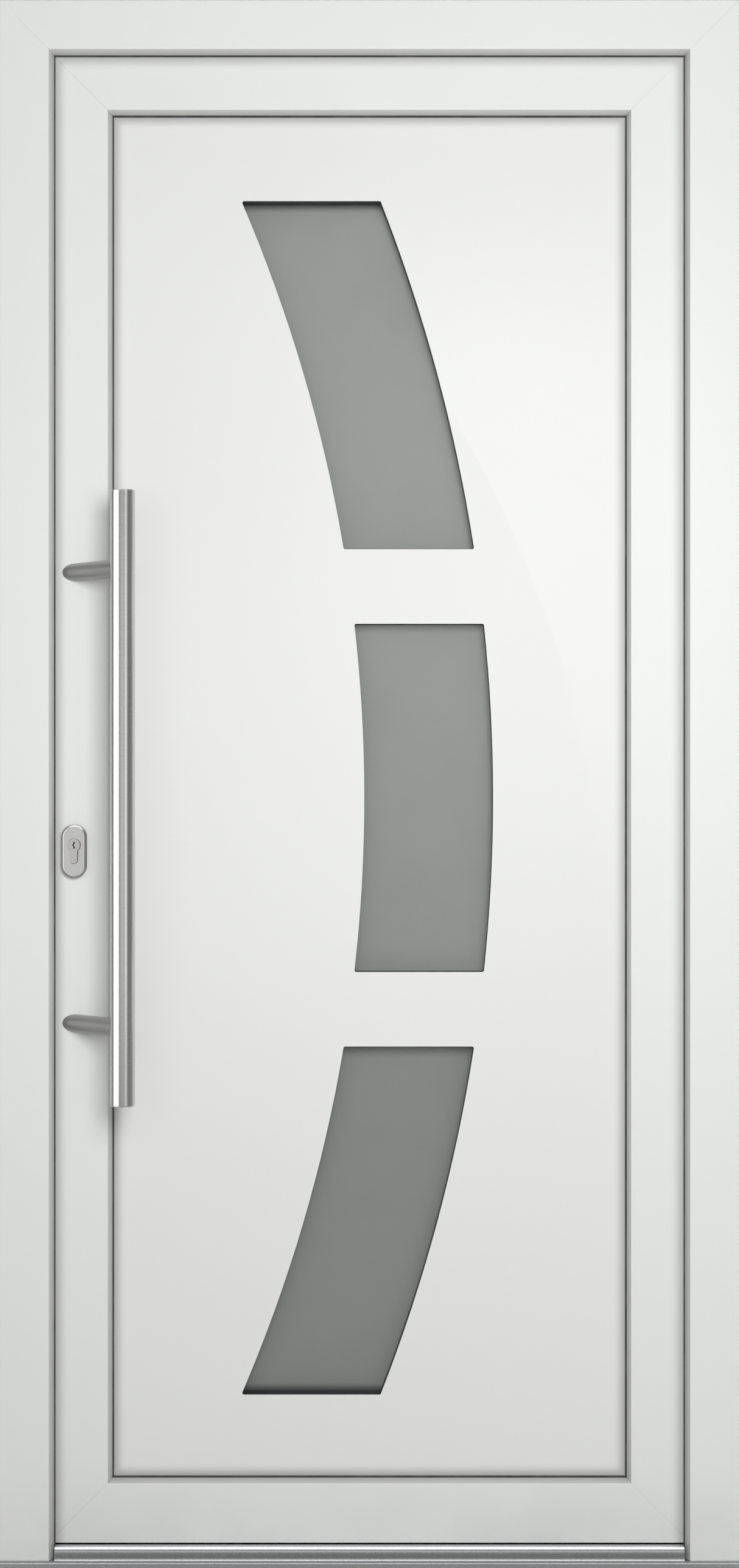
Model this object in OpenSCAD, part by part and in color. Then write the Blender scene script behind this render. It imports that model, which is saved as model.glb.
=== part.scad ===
// White uPVC entrance door set: a mitred outer frame on a low aluminium threshold and a leaf that
// opens into the room, with a flat panel, three lights cut along one arc, an offset pull bar,
// a profile cylinder, a lever on the room side and three barrel hinges.
// X runs to the right seen from outside, Y into the room and Z up.
// y = 0 is the outer face of the frame, z = 0 the underside of the sill rail.

/* [Door set] */
// Width over the outer frame
overall_w = 990; // [900:1:1080]
// Height from the underside of the sill rail to the top of the head
overall_h = 2100; // [1950:1:2300]

/* [Frame profile] */
// Depth of the frame from its outer face to its room face
frame_depth = 70; // [66:0.5:72]
// Width of the frame from the wall to the bottom of the rebate
frame_body_w = 51; // [46:0.5:60]
// Width of the flat outer face
frame_face_w = 65.5; // [60:0.5:70]
// Width of the bevel that runs from the face to the tip of the leg
frame_bevel_w = 5.5; // [3:0.5:7]
// Thickness of the leg that covers the edge of the leaf
frame_leg_t = 13; // [11:0.5:13]
// Width of each groove on the wall side of the profile
wall_groove_w = 8; // [5:0.5:9]
// Depth of each groove on the wall side of the profile
wall_groove_d = 4; // [2:0.5:6]
// Distance from each face of the frame to its wall groove
wall_groove_inset = 12; // [10:0.5:14]

/* [Threshold] */
// Height of the sill rail that carries the frame
sill_h = 7.5; // [5:0.5:12]
// How far the sill rail stands out in front of the frame
sill_front = 3; // [3:0.5:10]
// Radius of the upper front edge of the sill rail
sill_edge_r = 1.5; // [0.5:0.5:3]
// Thickness of the shelf that the jambs stand on
shelf_t = 2.3; // [2:0.1:4]
// Height of the rounded nose above the sill rail
nose_h = 20.5; // [17:0.5:21]
// How far the nose stands out in front of the frame
nose_front = 2.5; // [0.5:0.5:3]
// Radius of the upper front edge of the nose
nose_r = 8; // [4:0.5:9]
// Radius of the hollow between the nose and the shelf
shelf_fillet_r = 3; // [1:0.5:4]
// Width of the drain channel behind the nose
drain_w = 7; // [5:0.5:9]
// Height of the channel floor above the sill rail
drain_floor_h = 9.5; // [6:0.5:12]
// Height of the walking surface above the sill rail
platform_h = 16.5; // [14:0.5:17]
// Distance from the frame's outer face to the thermal break
break_y = 30; // [26:0.5:36]
// Width of the thermal break
break_w = 8; // [5:0.5:12]
// Radius of the room side edge of the threshold
platform_edge_r = 3; // [1:0.5:5]

/* [Leaf profile] */
// Distance from the outer face of the frame to the outer face of the leaf
leaf_setback = 15; // [15:0.5:17]
// Depth of the leaf profile
leaf_depth = 70; // [68:0.5:74]
// Width of the flat outer face of a stile or rail
leaf_face_w = 80; // [74:0.5:90]
// Width of the bevel from the face down to the panel gasket
leaf_bevel_w = 5.2; // [3:0.1:7]
// Thickness of the outer leg that holds the panel
leaf_leg_t = 12; // [10:0.5:13]
// Gap between the edge of the leaf and the bottom of the frame rebate
rebate_gap = 12; // [12:0.5:14]
// Gap between the underside of the leaf and the walking surface
bottom_gap = 5; // [5:0.5:8]
// Thickness of the flange that laps over the room face of the frame
flange_t = 12; // [9:0.5:12]
// How far the flange laps over the frame
flange_lap = 8; // [7:0.5:10]
// Chamfer on the room side edge of the flange
flange_chamfer = 2; // [1:0.5:4]
// Depth of the glazing rebate behind the outer face
glazing_rebate_w = 12; // [10:0.5:16]
// Width of the groove that takes the lock faceplate
lock_groove_w = 16; // [14:0.5:18]
// Depth of the groove that takes the lock faceplate
lock_groove_d = 3; // [2.5:0.5:4]
// Distance from the outer face of the leaf to the middle of the groove
lock_groove_y = 29; // [27:0.5:33]

/* [Panel and lights] */
// Thickness of the panel
panel_t = 36; // [34:0.5:40]
// Thickness of each panel skin
skin_t = 3; // [2:0.5:4]
// Gap for packers between the panel and the glazing rebate
panel_edge_gap = 4; // [3:0.5:6]
// Thickness of the gasket on each face of the panel
panel_gasket_t = 3; // [2:0.5:4]
// How far the gasket shows beyond the leg of the profile
gasket_show = 1.7; // [1:0.1:3]
// Number of lights, one above the other
light_count = 3; // [3:1:3]
// Distance from the top of the leaf to the upper light
light_inset_top = 199.3; // [150:0.1:260]
// Distance from the bottom of the leaf to the lower light
light_inset_bottom = 195.7; // [150:0.1:260]
// Width of each light, measured along a radius of the arc
light_w = 174; // [120:1:200]
// Height of the panel left between two lights
light_spacing = 100.6; // [80:0.1:110]
// Radius of the arc that the left edges of the lights lie on
arc_r = 2040; // [1800:1:2600]
// Distance of that arc's crest from the middle of the door
arc_crest_x = -7; // [-40:1:10]
// Radius of the corners of each light
light_corner_r = 2.5; // [1:0.5:10]
// How far the glass reaches behind the edge of the light
glass_seat = 8; // [7:0.5:12]
// Thickness of each pane
pane_t = 4; // [3:0.5:4]
// Distance between the two panes
pane_gap = 19; // [16:0.5:20]
// Width of the spacer bar between the panes
spacer_w = 8; // [6:0.5:8]

/* [Pull handle] */
// Diameter of the pull bar
bar_d = 33; // [28:1:40]
// Length of the pull bar
bar_len = 815; // [750:1:1000]
// Height of the middle of the pull bar
bar_z = 1031.5; // [950:0.5:1100]
// Distance of the bar from its fixings, sideways and outwards alike
bar_standoff = 71.3; // [62:0.1:90]
// Diameter of each post
post_d = 24; // [20:1:26]
// Distance between the two posts
post_spacing = 606.2; // [500:0.1:640]
// Thickness of the cap on each end of the bar
cap_t = 1.5; // [1:0.5:4]
// How much smaller the caps are than the bar, all round
cap_step = 0.6; // [0.2:0.1:1.5]

/* [Lock] */
// Distance from the edge of the leaf to the axis of the cylinder
backset = 35.4; // [35:0.1:42]
// Height of the cylinder axis
cylinder_z = 968; // [940:1:1000]
// Diameter of the round part of the cylinder
cylinder_d = 17; // [16:0.1:18]
// Height of the cylinder profile
cylinder_h = 33; // [31:0.5:35]
// Width of the lower part of the cylinder profile
cylinder_neck_w = 10; // [9:0.1:11]
// How far the cylinder stands out of the escutcheons
cylinder_proud = 2; // [0.5:0.5:3]
// Diameter of the plug that the key turns
plug_d = 12; // [11:0.1:13]
// Length of the plug
plug_len = 30; // [28:0.5:34]
// Height of the keyway
keyway_h = 9; // [8:0.1:9.5]
// Width of the keyway
keyway_w = 1.8; // [1.4:0.1:2.2]
// Depth of the keyway
keyway_depth = 25; // [20:0.5:27]
// Width of the escutcheons and of the lever rose
escutcheon_w = 33.5; // [31:0.5:38]
// Height of the escutcheons and of the lever rose
escutcheon_h = 72; // [66:0.5:80]
// Thickness of the escutcheons and of the lever rose
escutcheon_t = 10; // [7:0.5:12]
// Chamfer round the edge of the escutcheons and of the lever rose
escutcheon_chamfer = 2.5; // [1:0.5:4]
// How far the middle of the escutcheon lies below the cylinder axis
escutcheon_drop = 8.3; // [6:0.1:11]
// Distance from the leaf's ends to the ends of the lock faceplate
faceplate_inset = 150; // [100:1:200]
// Distance from the leaf's ends to the outer locking bolts
outer_bolt_inset = 320; // [280:1:360]
// Height of each outer locking bolt
outer_bolt_h = 40; // [30:1:50]
// Height of the latch
latch_h = 34; // [28:1:40]
// Height of the latch's middle above the cylinder axis
latch_rise = 102; // [95:1:110]
// Height of the deadbolt
deadbolt_h = 44; // [36:1:50]
// Height of the deadbolt's middle above the cylinder axis
deadbolt_rise = 20; // [10:1:30]
// Width of the latch and the bolts
bolt_w = 10; // [8:0.5:11]
// Length of the latch and the bolts inside the stile
bolt_len = 24; // [20:1:26]

/* [Strike plates] */
// Thickness of the strike plates
strike_t = 2; // [1.5:0.5:3]
// Width of the strike plates
strike_w = 22; // [20:0.5:26]
// Length of the middle strike plate
strike_mid_len = 230; // [210:1:260]
// Length of each outer strike plate
strike_end_len = 110; // [90:1:130]
// Play around a bolt in its strike plate
strike_play = 2; // [1:0.5:3]

/* [Lever] */
// Height of the lever above the cylinder axis
lever_rise = 92; // [85:1:100]
// Diameter of the lever
lever_d = 19; // [16:0.5:21]
// Length of the lever from its spindle to the outside of its return
lever_reach = 134; // [120:1:150]
// Distance from the room face of the leaf to the centre line of the grip
lever_standoff = 46; // [42:0.5:55]
// Bend radius of the lever's centre line
lever_bend_r = 15; // [13:0.5:18]
// Gap between the lever's return and the leaf
lever_return_gap = 16; // [14:0.5:22]

/* [Hinges] */
// Height of each hinge
hinge_h = 122; // [100:1:140]
// Distance from the leaf's ends to the upper and lower hinges
hinge_inset = 200; // [150:1:260]
// Diameter of the hinge barrel
barrel_d = 18; // [16:0.5:20]
// Diameter of the hinge pin
pin_d = 10; // [8:0.5:11]
// Height of the knuckle that belongs to the leaf
leaf_knuckle_h = 48; // [40:1:60]
// Gap between two knuckles
knuckle_gap = 0.4; // [0.3:0.1:1]
// Distance of the hinge axis beyond the edge of the flange
hinge_axis_out = 4; // [3:0.5:6]
// Distance of the hinge axis from the room face of the leaf
hinge_axis_up = 15; // [15:0.5:20]
// Thickness of the hinge plates
hinge_plate_t = 6; // [4:0.5:6]
// Width of the plate on the frame
frame_plate_w = 31; // [26:0.5:34]
// Gap between the edge of the flange and the plate on the frame
frame_plate_gap = 5.5; // [5:0.5:7]
// Width of the plate on the leaf
leaf_plate_w = 44; // [36:1:50]
// Gap between the edge of the flange and the plate on the leaf
leaf_plate_inset = 8; // [7:0.5:10]
// Height of the plate on the leaf
leaf_plate_h = 90; // [70:1:100]
// Thickness of the web between the frame's plate and its knuckles
hinge_web_t = 7.5; // [6:0.5:8]
// Radius of the corners of the hinge plates
plate_corner_r = 4; // [2:0.5:8]
// Chamfer on the ends of the barrel
barrel_chamfer = 1; // [0.5:0.5:2]

/* [Seals] */
// Width of the lip of the frame gasket
frame_gasket_w = 9; // [6:0.5:9]
// How far the frame gasket shows beyond the leg of the frame
frame_gasket_show = 1.9; // [1:0.1:2.5]
// Width of the foot that holds the frame gasket
gasket_foot_w = 3; // [2:0.5:4]
// Depth of the groove for that foot
gasket_foot_d = 2.5; // [2:0.5:4]
// Width of the gasket on the flange
flange_gasket_w = 6; // [4:0.5:6]
// Width of the brush under the leaf
brush_w = 6; // [4:0.5:8]
// Distance from the outer face of the leaf to the middle of the brush
brush_y = 32; // [28:0.5:38]

/* [Fixings] */
// Diameter of the frame screw holes
fixing_d = 10; // [7:0.5:11]
// Number of screw holes in each jamb
fixing_count = 4; // [4:1:4]
// Distance from the ends of the frame to the outermost screw holes
fixing_inset = 200; // [180:1:240]

/* [Fits] */
// Gap left where one piece closes on another
seat_gap = 0.3; // [0.2:0.05:0.4]
// Gap around a piece that is let into another
let_in_gap = 0.2; // [0.1:0.05:0.3]
// Gap between the cylinder and the hole it passes through
cylinder_gap = 0.3; // [0.2:0.05:0.5]
// Radial gap around the plug and the hinge pins
running_gap = 0.05; // [0.03:0.01:0.08]

/* [Hidden] */
$fn = 64;

// How far a cut runs past the face it opens
over = 20;
half_w = overall_w / 2;

// Levels of the frame
frame_tip_w = frame_face_w + frame_bevel_w;
jamb_z = sill_h + shelf_t;
drain_z = sill_h + drain_floor_h;
rebate_x = half_w - frame_body_w;
fixing_y = frame_depth / 2;
fixing_pitch = (overall_h - 2 * fixing_inset) / (fixing_count - 1);

// Outline of the leaf without its flange
leaf_x = rebate_x - rebate_gap;
leaf_z0 = sill_h + platform_h + bottom_gap;
leaf_z1 = overall_h - frame_body_w - rebate_gap;
leaf_mid_z = (leaf_z0 + leaf_z1) / 2;
room_y = leaf_setback + leaf_depth;
flange_w = rebate_gap + flange_lap;
flange_x = leaf_x + flange_w;
flange_y = room_y - flange_t;

// The glazing rebate and what sits in it
leaf_tip_w = leaf_face_w + leaf_bevel_w;
glazing_w = leaf_face_w - glazing_rebate_w;
panel_y0 = leaf_setback + leaf_leg_t + panel_gasket_t;
panel_y1 = panel_y0 + panel_t;
bead_y = panel_y1 + panel_gasket_t;
panel_edge_w = glazing_w + panel_edge_gap;
glass_y0 = panel_y0 + skin_t;
spacer_y0 = glass_y0 + pane_t;
spacer_y1 = spacer_y0 + pane_gap;
glass_y1 = spacer_y1 + pane_t;

// The arc that the lights follow
arc_x = arc_crest_x - arc_r;
lights_z0 = leaf_z0 + light_inset_bottom;
lights_z1 = leaf_z1 - light_inset_top;
arc_z = (lights_z0 + lights_z1) / 2;
light_h = (lights_z1 - lights_z0 - (light_count - 1) * light_spacing) / light_count;
light_pitch = light_h + light_spacing;
arc_steps = 16;
corner_steps = 4;

// The lock and the handles
lock_x = -(leaf_x - backset);
bar_x = lock_x + bar_standoff;
bar_y = leaf_setback - bar_standoff;
groove_y = leaf_setback + lock_groove_y;
escutcheon_z = cylinder_z - escutcheon_drop;
escutcheon_y = leaf_setback - escutcheon_t;
cylinder_y0 = escutcheon_y - cylinder_proud;
cylinder_y1 = room_y + escutcheon_t + cylinder_proud;
lever_z = cylinder_z + lever_rise;
outer_bolt_lo = leaf_z0 + outer_bolt_inset;
outer_bolt_hi = leaf_z1 - outer_bolt_inset;
latch_z = cylinder_z + latch_rise;
deadbolt_z = cylinder_z + deadbolt_rise;
// Each bolt as the height of its middle and its own height
bolts = [[outer_bolt_lo, outer_bolt_h], [deadbolt_z, deadbolt_h], [latch_z, latch_h],
         [outer_bolt_hi, outer_bolt_h]];

// The hinges
hinge_x = flange_x + hinge_axis_out;
hinge_y = room_y + hinge_axis_up;
hinge_lo = leaf_z0 + hinge_inset;
hinge_hi = leaf_z1 - hinge_inset;

// Colours
upvc_white = [0.93, 0.94, 0.93];
gasket_black = [0.12, 0.12, 0.12];
foam_grey = [0.82, 0.80, 0.74];
glass_grey = [0.60, 0.62, 0.61];
steel = [0.72, 0.72, 0.70];
aluminium = [0.80, 0.81, 0.82];
nickel = [0.76, 0.75, 0.72];
break_grey = [0.35, 0.35, 0.36];

// Points on an arc from angle a0 to angle a1
function arc_points(cx, cy, r, a0, a1, steps) =
    [for (i = [0 : steps]) let (a = a0 + (a1 - a0) * i / steps) [cx + r * cos(a), cy + r * sin(a)]];

// Angle, seen from the arc's centre, of a point at distance r and height z
function arc_angle(r, z) = asin((z - arc_z) / r);

// Corner of a light with its centre at distance r from the arc's centre and at height z
function light_corner(r, z, corner_r, a0, a1) =
    arc_points(arc_x + r * cos(arc_angle(r, z)), z, corner_r, a0, a1, corner_steps);

// Outline of a light, grown all round: two concentric arcs joined by level edges
function light_outline(mid_z, grow) =
    let (
        c = light_corner_r + grow,
        r_left = arc_r - grow,
        r_right = arc_r + light_w + grow,
        z_lo = mid_z - light_h / 2 - grow + c,
        z_hi = mid_z + light_h / 2 + grow - c,
        right_lo = arc_angle(r_right - c, z_lo),
        right_hi = arc_angle(r_right - c, z_hi),
        left_lo = arc_angle(r_left + c, z_lo),
        left_hi = arc_angle(r_left + c, z_hi)
    )
    concat(
        light_corner(r_right - c, z_lo, c, -90, right_lo),
        arc_points(arc_x, arc_z, r_right, right_lo, right_hi, arc_steps),
        light_corner(r_right - c, z_hi, c, right_hi, 90),
        light_corner(r_left + c, z_hi, c, 90, 180 + left_hi),
        arc_points(arc_x, arc_z, r_left, left_hi, left_lo, arc_steps),
        light_corner(r_left + c, z_lo, c, 180 + left_lo, 270)
    );

// Extrudes an outline drawn in X and Z through the thickness from y0 to y1
module through(y0, y1) {
    translate([0, y1, 0]) rotate([90, 0, 0]) linear_extrude(y1 - y0) children();
}

// Runs a section, drawn as distance from the edge and depth, up the left edge at x = -edge_x
module up_left(edge_x, z0, z1) {
    translate([-edge_x, 0, z0]) linear_extrude(z1 - z0) children();
}

// Runs such a section under a top edge at height z
module under_top(half_len, z) {
    translate([-half_len, 0, z]) rotate([0, 90, 0]) linear_extrude(2 * half_len) children();
}

// Runs such a section over a bottom edge at height z
module over_bottom(half_len, z) {
    translate([half_len, 0, z]) rotate([0, -90, 0]) linear_extrude(2 * half_len) children();
}

// The two ends of the mirrored pair
module to_right() {
    mirror([1, 0, 0]) children();
}

// Everything between the outer planes of the door in Y
module all_depth() {
    through(-over, room_y + over) children();
}

// Space of a left member between square or mitred ends. Mitres start at the corners of the
// rectangle from -edge_x, z0 to z1 and run inwards for the length reach.
module left_of_mitres(edge_x, z0, z1, reach, square_bottom) {
    bottom = square_bottom ? [[-edge_x - over, z0], [-edge_x + reach, z0]]
                           : [[-edge_x - over, z0 - over], [-edge_x + reach, z0 + reach]];
    all_depth() polygon(concat(bottom, [[-edge_x + reach, z1 - reach], [-edge_x - over, z1 + over]]));
}

// Space of a top member between mitred ends
module below_mitres(edge_x, z1, reach) {
    all_depth() polygon([[-edge_x - over, z1 + over], [edge_x + over, z1 + over],
                         [edge_x - reach, z1 - reach], [-edge_x + reach, z1 - reach]]);
}

// Space of a bottom member between mitred ends
module above_mitres(edge_x, z0, reach) {
    all_depth() polygon([[-edge_x - over, z0 - over], [edge_x + over, z0 - over],
                         [edge_x - reach, z0 + reach], [-edge_x + reach, z0 + reach]]);
}

// Runs a section round the left side, the top and the right side, with mitred corners
module round_three_sides(edge_x, z0, z1, reach) {
    for (side = [0, 1]) mirror([side, 0, 0]) intersection() {
        up_left(edge_x, z0, z1 + over) children();
        left_of_mitres(edge_x, z0, z1, reach, true);
    }
    intersection() {
        under_top(edge_x + over, z1) children();
        below_mitres(edge_x, z1, reach);
    }
}

// Stadium with a chamfered front edge, standing on y = 0 and reaching towards -Y
module rosette(w, h, t, chamfer) {
    r = w / 2;
    straight = h - w;
    profile = [[0, 0], [r, 0], [r, t - chamfer], [r - chamfer, t], [0, t]];
    rotate([90, 0, 0]) {
        for (end = [-1, 1]) translate([0, end * straight / 2, 0]) rotate_extrude() polygon(profile);
        translate([0, straight / 2, 0]) rotate([90, 0, 0]) linear_extrude(straight) {
            polygon(profile);
            mirror([1, 0]) polygon(profile);
        }
    }
}

// Rectangle with rounded corners, centred
module rounded_rect(w, h, r) {
    square([w - 2 * r, h], center = true);
    square([w, h - 2 * r], center = true);
    for (x = [-1, 1], y = [-1, 1]) translate([x * (w / 2 - r), y * (h / 2 - r)]) circle(r);
}

// Outline of the profile cylinder, grown all round
module cylinder_outline(grow) {
    neck = cylinder_neck_w + 2 * grow;
    neck_end = cylinder_h - cylinder_d / 2 - cylinder_neck_w / 2;
    circle(cylinder_d / 2 + grow);
    translate([-neck / 2, -neck_end]) square([neck, neck_end]);
    translate([0, -neck_end]) circle(neck / 2);
}

// Curved slot for the key, of constant width
module keyway_outline() {
    wave = keyway_w / 2;
    half = keyway_w / 2;
    steps = 12;
    three_half_turns = 540;
    line = [for (i = [0 : steps]) let (t = i / steps)
        [wave * sin(three_half_turns * t), keyway_h * (t - 0.5)]];
    polygon(concat([for (p = line) [p[0] + half, p[1]]],
                   [for (i = [steps : -1 : 0]) [line[i][0] - half, line[i][1]]]));
}

// Cuts the hole that the cylinder passes through
module cylinder_hole() {
    translate([lock_x, 0, cylinder_z]) through(-over, room_y + over) cylinder_outline(cylinder_gap);
}

// FRAME

// Section of the outer frame, from the wall inwards
module frame_section() {
    g0 = wall_groove_inset;
    g1 = frame_depth - wall_groove_inset - wall_groove_w;
    foot_u = frame_tip_w - frame_gasket_w / 2 - gasket_foot_w / 2;
    difference() {
        polygon([[0, 0], [frame_face_w, 0], [frame_tip_w, frame_leg_t], [frame_body_w, frame_leg_t],
                 [frame_body_w, frame_depth], [0, frame_depth]]);
        for (y = [g0, g1]) translate([-over, y]) square([over + wall_groove_d, wall_groove_w]);
        translate([foot_u, frame_leg_t - gasket_foot_d]) square([gasket_foot_w, gasket_foot_d + over]);
    }
}

// Screw holes through a left jamb, in line with each other
module fixing_holes() {
    for (i = [0 : fixing_count - 1])
        translate([-half_w - over, fixing_y, fixing_inset + i * fixing_pitch])
            rotate([0, 90, 0]) cylinder(d = fixing_d, h = frame_body_w + 2 * over);
}

// Left jamb, standing on the shelf of the threshold
module jamb() {
    difference() {
        intersection() {
            up_left(half_w, jamb_z, overall_h + over) frame_section();
            left_of_mitres(half_w, jamb_z, overall_h, frame_tip_w, true);
        }
        fixing_holes();
    }
}

module frame_lock_jamb() {
    color(upvc_white) jamb();
}

module frame_hinge_jamb() {
    color(upvc_white) to_right() jamb();
}

module frame_head() {
    color(upvc_white) intersection() {
        under_top(half_w, overall_h) frame_section();
        below_mitres(half_w, overall_h, frame_tip_w);
    }
}

// Section of the frame gasket: a foot in the leg's groove and a lip that ends just off the leaf
module frame_gasket_section() {
    lip = leaf_setback - frame_leg_t - seat_gap;
    foot_mid = frame_tip_w - frame_gasket_w / 2;
    foot = gasket_foot_w / 2 - let_in_gap;
    inner = frame_tip_w - frame_gasket_w;
    shown = frame_tip_w + frame_gasket_show;
    polygon([[foot_mid - foot, frame_leg_t - gasket_foot_d + let_in_gap],
             [foot_mid + foot, frame_leg_t - gasket_foot_d + let_in_gap],
             [foot_mid + foot, frame_leg_t], [shown, frame_leg_t],
             [shown - lip / 2, frame_leg_t + lip], [inner + lip, frame_leg_t + lip],
             [inner, frame_leg_t], [foot_mid - foot, frame_leg_t]]);
}

module frame_gasket() {
    color(gasket_black) round_three_sides(half_w, drain_z, overall_h, frame_tip_w + frame_gasket_show)
        frame_gasket_section();
}

// THRESHOLD

// Runs an outline drawn in Y and Z along the door's width
module along_width(half_len) {
    translate([-half_len, 0, 0]) rotate([90, 0, 90]) linear_extrude(2 * half_len) children();
}

// Space taken by the two jambs and a small gap around them
module jamb_pockets() {
    g = let_in_gap;
    nose_end = frame_tip_w + frame_gasket_show;
    for (side = [0, 1]) mirror([side, 0, 0])
        up_left(half_w, jamb_z, jamb_z + nose_h + over)
            polygon([[-over, -over], [nose_end, -over], [nose_end, frame_leg_t + g],
                     [frame_body_w + g, frame_leg_t + g], [frame_body_w + g, frame_depth + over],
                     [-over, frame_depth + over]]);
}

// Outline of the whole threshold above the sill rail, in Y and Z
module threshold_outline() {
    shelf = jamb_z;
    top = sill_h + nose_h;
    walk = sill_h + platform_h;
    drain_y = frame_leg_t + drain_w;
    fillet = shelf_fillet_r;
    edge = platform_edge_r;
    polygon(concat(
        [[-nose_front, sill_h], [frame_depth, sill_h]],
        arc_points(frame_depth - edge, walk - edge, edge, 0, 90, corner_steps),
        [[drain_y, walk], [drain_y, drain_z], [frame_leg_t, drain_z], [frame_leg_t, top]],
        arc_points(nose_r + fillet - nose_front, top - nose_r, nose_r, 90, 180, 2 * corner_steps),
        arc_points(-nose_front, shelf + fillet, fillet, 0, -90, corner_steps)
    ));
}

// The part of the threshold between two planes in Y
module threshold_part(y0, y1) {
    difference() {
        along_width(half_w) intersection() {
            threshold_outline();
            translate([y0, 0]) square([y1 - y0, overall_h]);
        }
        jamb_pockets();
    }
}

module sill_rail() {
    color(aluminium) along_width(half_w) polygon(concat(
        [[-sill_front, 0], [frame_depth, 0], [frame_depth, sill_h]],
        arc_points(sill_edge_r - sill_front, sill_h - sill_edge_r, sill_edge_r, 90, 180, corner_steps)
    ));
}

module threshold_outer() {
    color(aluminium) threshold_part(-over, break_y);
}

module threshold_break() {
    color(break_grey) threshold_part(break_y, break_y + break_w);
}

module threshold_inner() {
    color(aluminium) threshold_part(break_y + break_w, frame_depth + over);
}

// STRIKE PLATES

// Plate on the bottom of the rebate, with a window for each bolt between z0 and z1
module strike_plate(mid_z, len) {
    window_w = bolt_w + 2 * strike_play;
    color(steel) translate([-rebate_x, 0, 0]) rotate([90, 0, 90]) linear_extrude(strike_t) difference() {
        translate([groove_y, mid_z]) rounded_rect(strike_w, len, plate_corner_r);
        for (b = bolts) if (abs(b[0] - mid_z) < len / 2)
            translate([groove_y, b[0]]) rounded_rect(window_w, b[1] + 2 * strike_play, strike_play);
    }
}

module strike_plate_upper() {
    strike_plate(outer_bolt_hi, strike_end_len);
}

module strike_plate_middle() {
    strike_plate((latch_z + deadbolt_z) / 2, strike_mid_len);
}

module strike_plate_lower() {
    strike_plate(outer_bolt_lo, strike_end_len);
}

// LEAF

// Section of a stile or rail, from the leaf's edge inwards
module leaf_section(with_flange) {
    y0 = leaf_setback;
    y_leg = leaf_setback + leaf_leg_t;
    lip = with_flange ? [[-flange_w + flange_chamfer, room_y], [-flange_w, room_y - flange_chamfer],
                         [-flange_w, flange_y], [0, flange_y]]
                      : [[flange_chamfer, room_y], [0, room_y - flange_chamfer]];
    difference() {
        polygon(concat([[0, y0], [leaf_face_w, y0], [leaf_tip_w, y_leg], [glazing_w, y_leg],
                        [glazing_w, room_y]], lip));
        translate([-over, groove_y - lock_groove_w / 2]) square([over + lock_groove_d, lock_groove_w]);
    }
}

// Left stile with its flange, mitred at the top and bottom
module stile() {
    intersection() {
        up_left(leaf_x, leaf_z0, leaf_z1 + flange_w) leaf_section(true);
        left_of_mitres(leaf_x, leaf_z0, leaf_z1, leaf_tip_w, false);
    }
}

// Pockets in the lock stile for the latch and the bolts
module bolt_pockets() {
    for (b = bolts)
        translate([-leaf_x - over, groove_y - bolt_w / 2 - let_in_gap, b[0] - b[1] / 2 - let_in_gap])
            cube([bolt_len + let_in_gap + over, bolt_w + 2 * let_in_gap, b[1] + 2 * let_in_gap]);
}

module leaf_lock_stile() {
    color(upvc_white) difference() {
        stile();
        cylinder_hole();
        bolt_pockets();
    }
}

module leaf_hinge_stile() {
    color(upvc_white) to_right() stile();
}

module leaf_top_rail() {
    color(upvc_white) intersection() {
        under_top(flange_x, leaf_z1) leaf_section(true);
        below_mitres(leaf_x, leaf_z1, leaf_tip_w);
    }
}

module leaf_bottom_rail() {
    color(upvc_white) intersection() {
        over_bottom(leaf_x, leaf_z0) leaf_section(false);
        above_mitres(leaf_x, leaf_z0, leaf_tip_w);
    }
}

// Gasket on the inner face of the flange, ending just off the room face of the frame
module leaf_gasket() {
    u0 = -flange_w + (flange_lap - flange_gasket_w) / 2;
    u1 = u0 + flange_gasket_w;
    lip_y = frame_depth + seat_gap;
    slope = (flange_y - lip_y) / 2;
    color(gasket_black) round_three_sides(leaf_x, leaf_z0, leaf_z1, leaf_tip_w)
        polygon([[u0, flange_y], [u1, flange_y], [u1 - slope, lip_y], [u0 + slope, lip_y]]);
}

module leaf_bottom_brush() {
    brush_h = bottom_gap - seat_gap;
    color(gasket_black) translate([-leaf_x, leaf_setback + brush_y - brush_w / 2, leaf_z0 - brush_h])
        cube([2 * leaf_x, brush_w, brush_h]);
}

// GLAZING BEADS

// Section of a bead, measured from the leaf's edge: square at the back, bevelled towards the panel
module bead_section() {
    u0 = glazing_w;
    u1 = leaf_tip_w;
    bead_t = room_y - bead_y;
    polygon([[u0, bead_y], [u1, bead_y], [u1, bead_y + bead_t / 4], [u1 - leaf_bevel_w, room_y - bead_t / 4],
             [u1 - 2 * leaf_bevel_w, room_y], [u0, room_y]]);
}

module side_bead() {
    intersection() {
        up_left(leaf_x, leaf_z0, leaf_z1) bead_section();
        left_of_mitres(leaf_x, leaf_z0, leaf_z1, leaf_tip_w, false);
    }
}

module bead_lock_side() {
    color(upvc_white) side_bead();
}

module bead_hinge_side() {
    color(upvc_white) to_right() side_bead();
}

module bead_top() {
    color(upvc_white) intersection() {
        under_top(leaf_x, leaf_z1) bead_section();
        below_mitres(leaf_x, leaf_z1, leaf_tip_w);
    }
}

module bead_bottom() {
    color(upvc_white) intersection() {
        over_bottom(leaf_x, leaf_z0) bead_section();
        above_mitres(leaf_x, leaf_z0, leaf_tip_w);
    }
}

// PANEL

// Rectangle inset from the outline of the leaf
module leaf_rect(inset) {
    translate([-leaf_x + inset, leaf_z0 + inset])
        square([2 * (leaf_x - inset), leaf_z1 - leaf_z0 - 2 * inset]);
}

// The lights, one above the other, grown all round
module lights(grow) {
    for (i = [0 : light_count - 1])
        polygon(light_outline(arc_z + (i - (light_count - 1) / 2) * light_pitch, grow));
}

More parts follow.
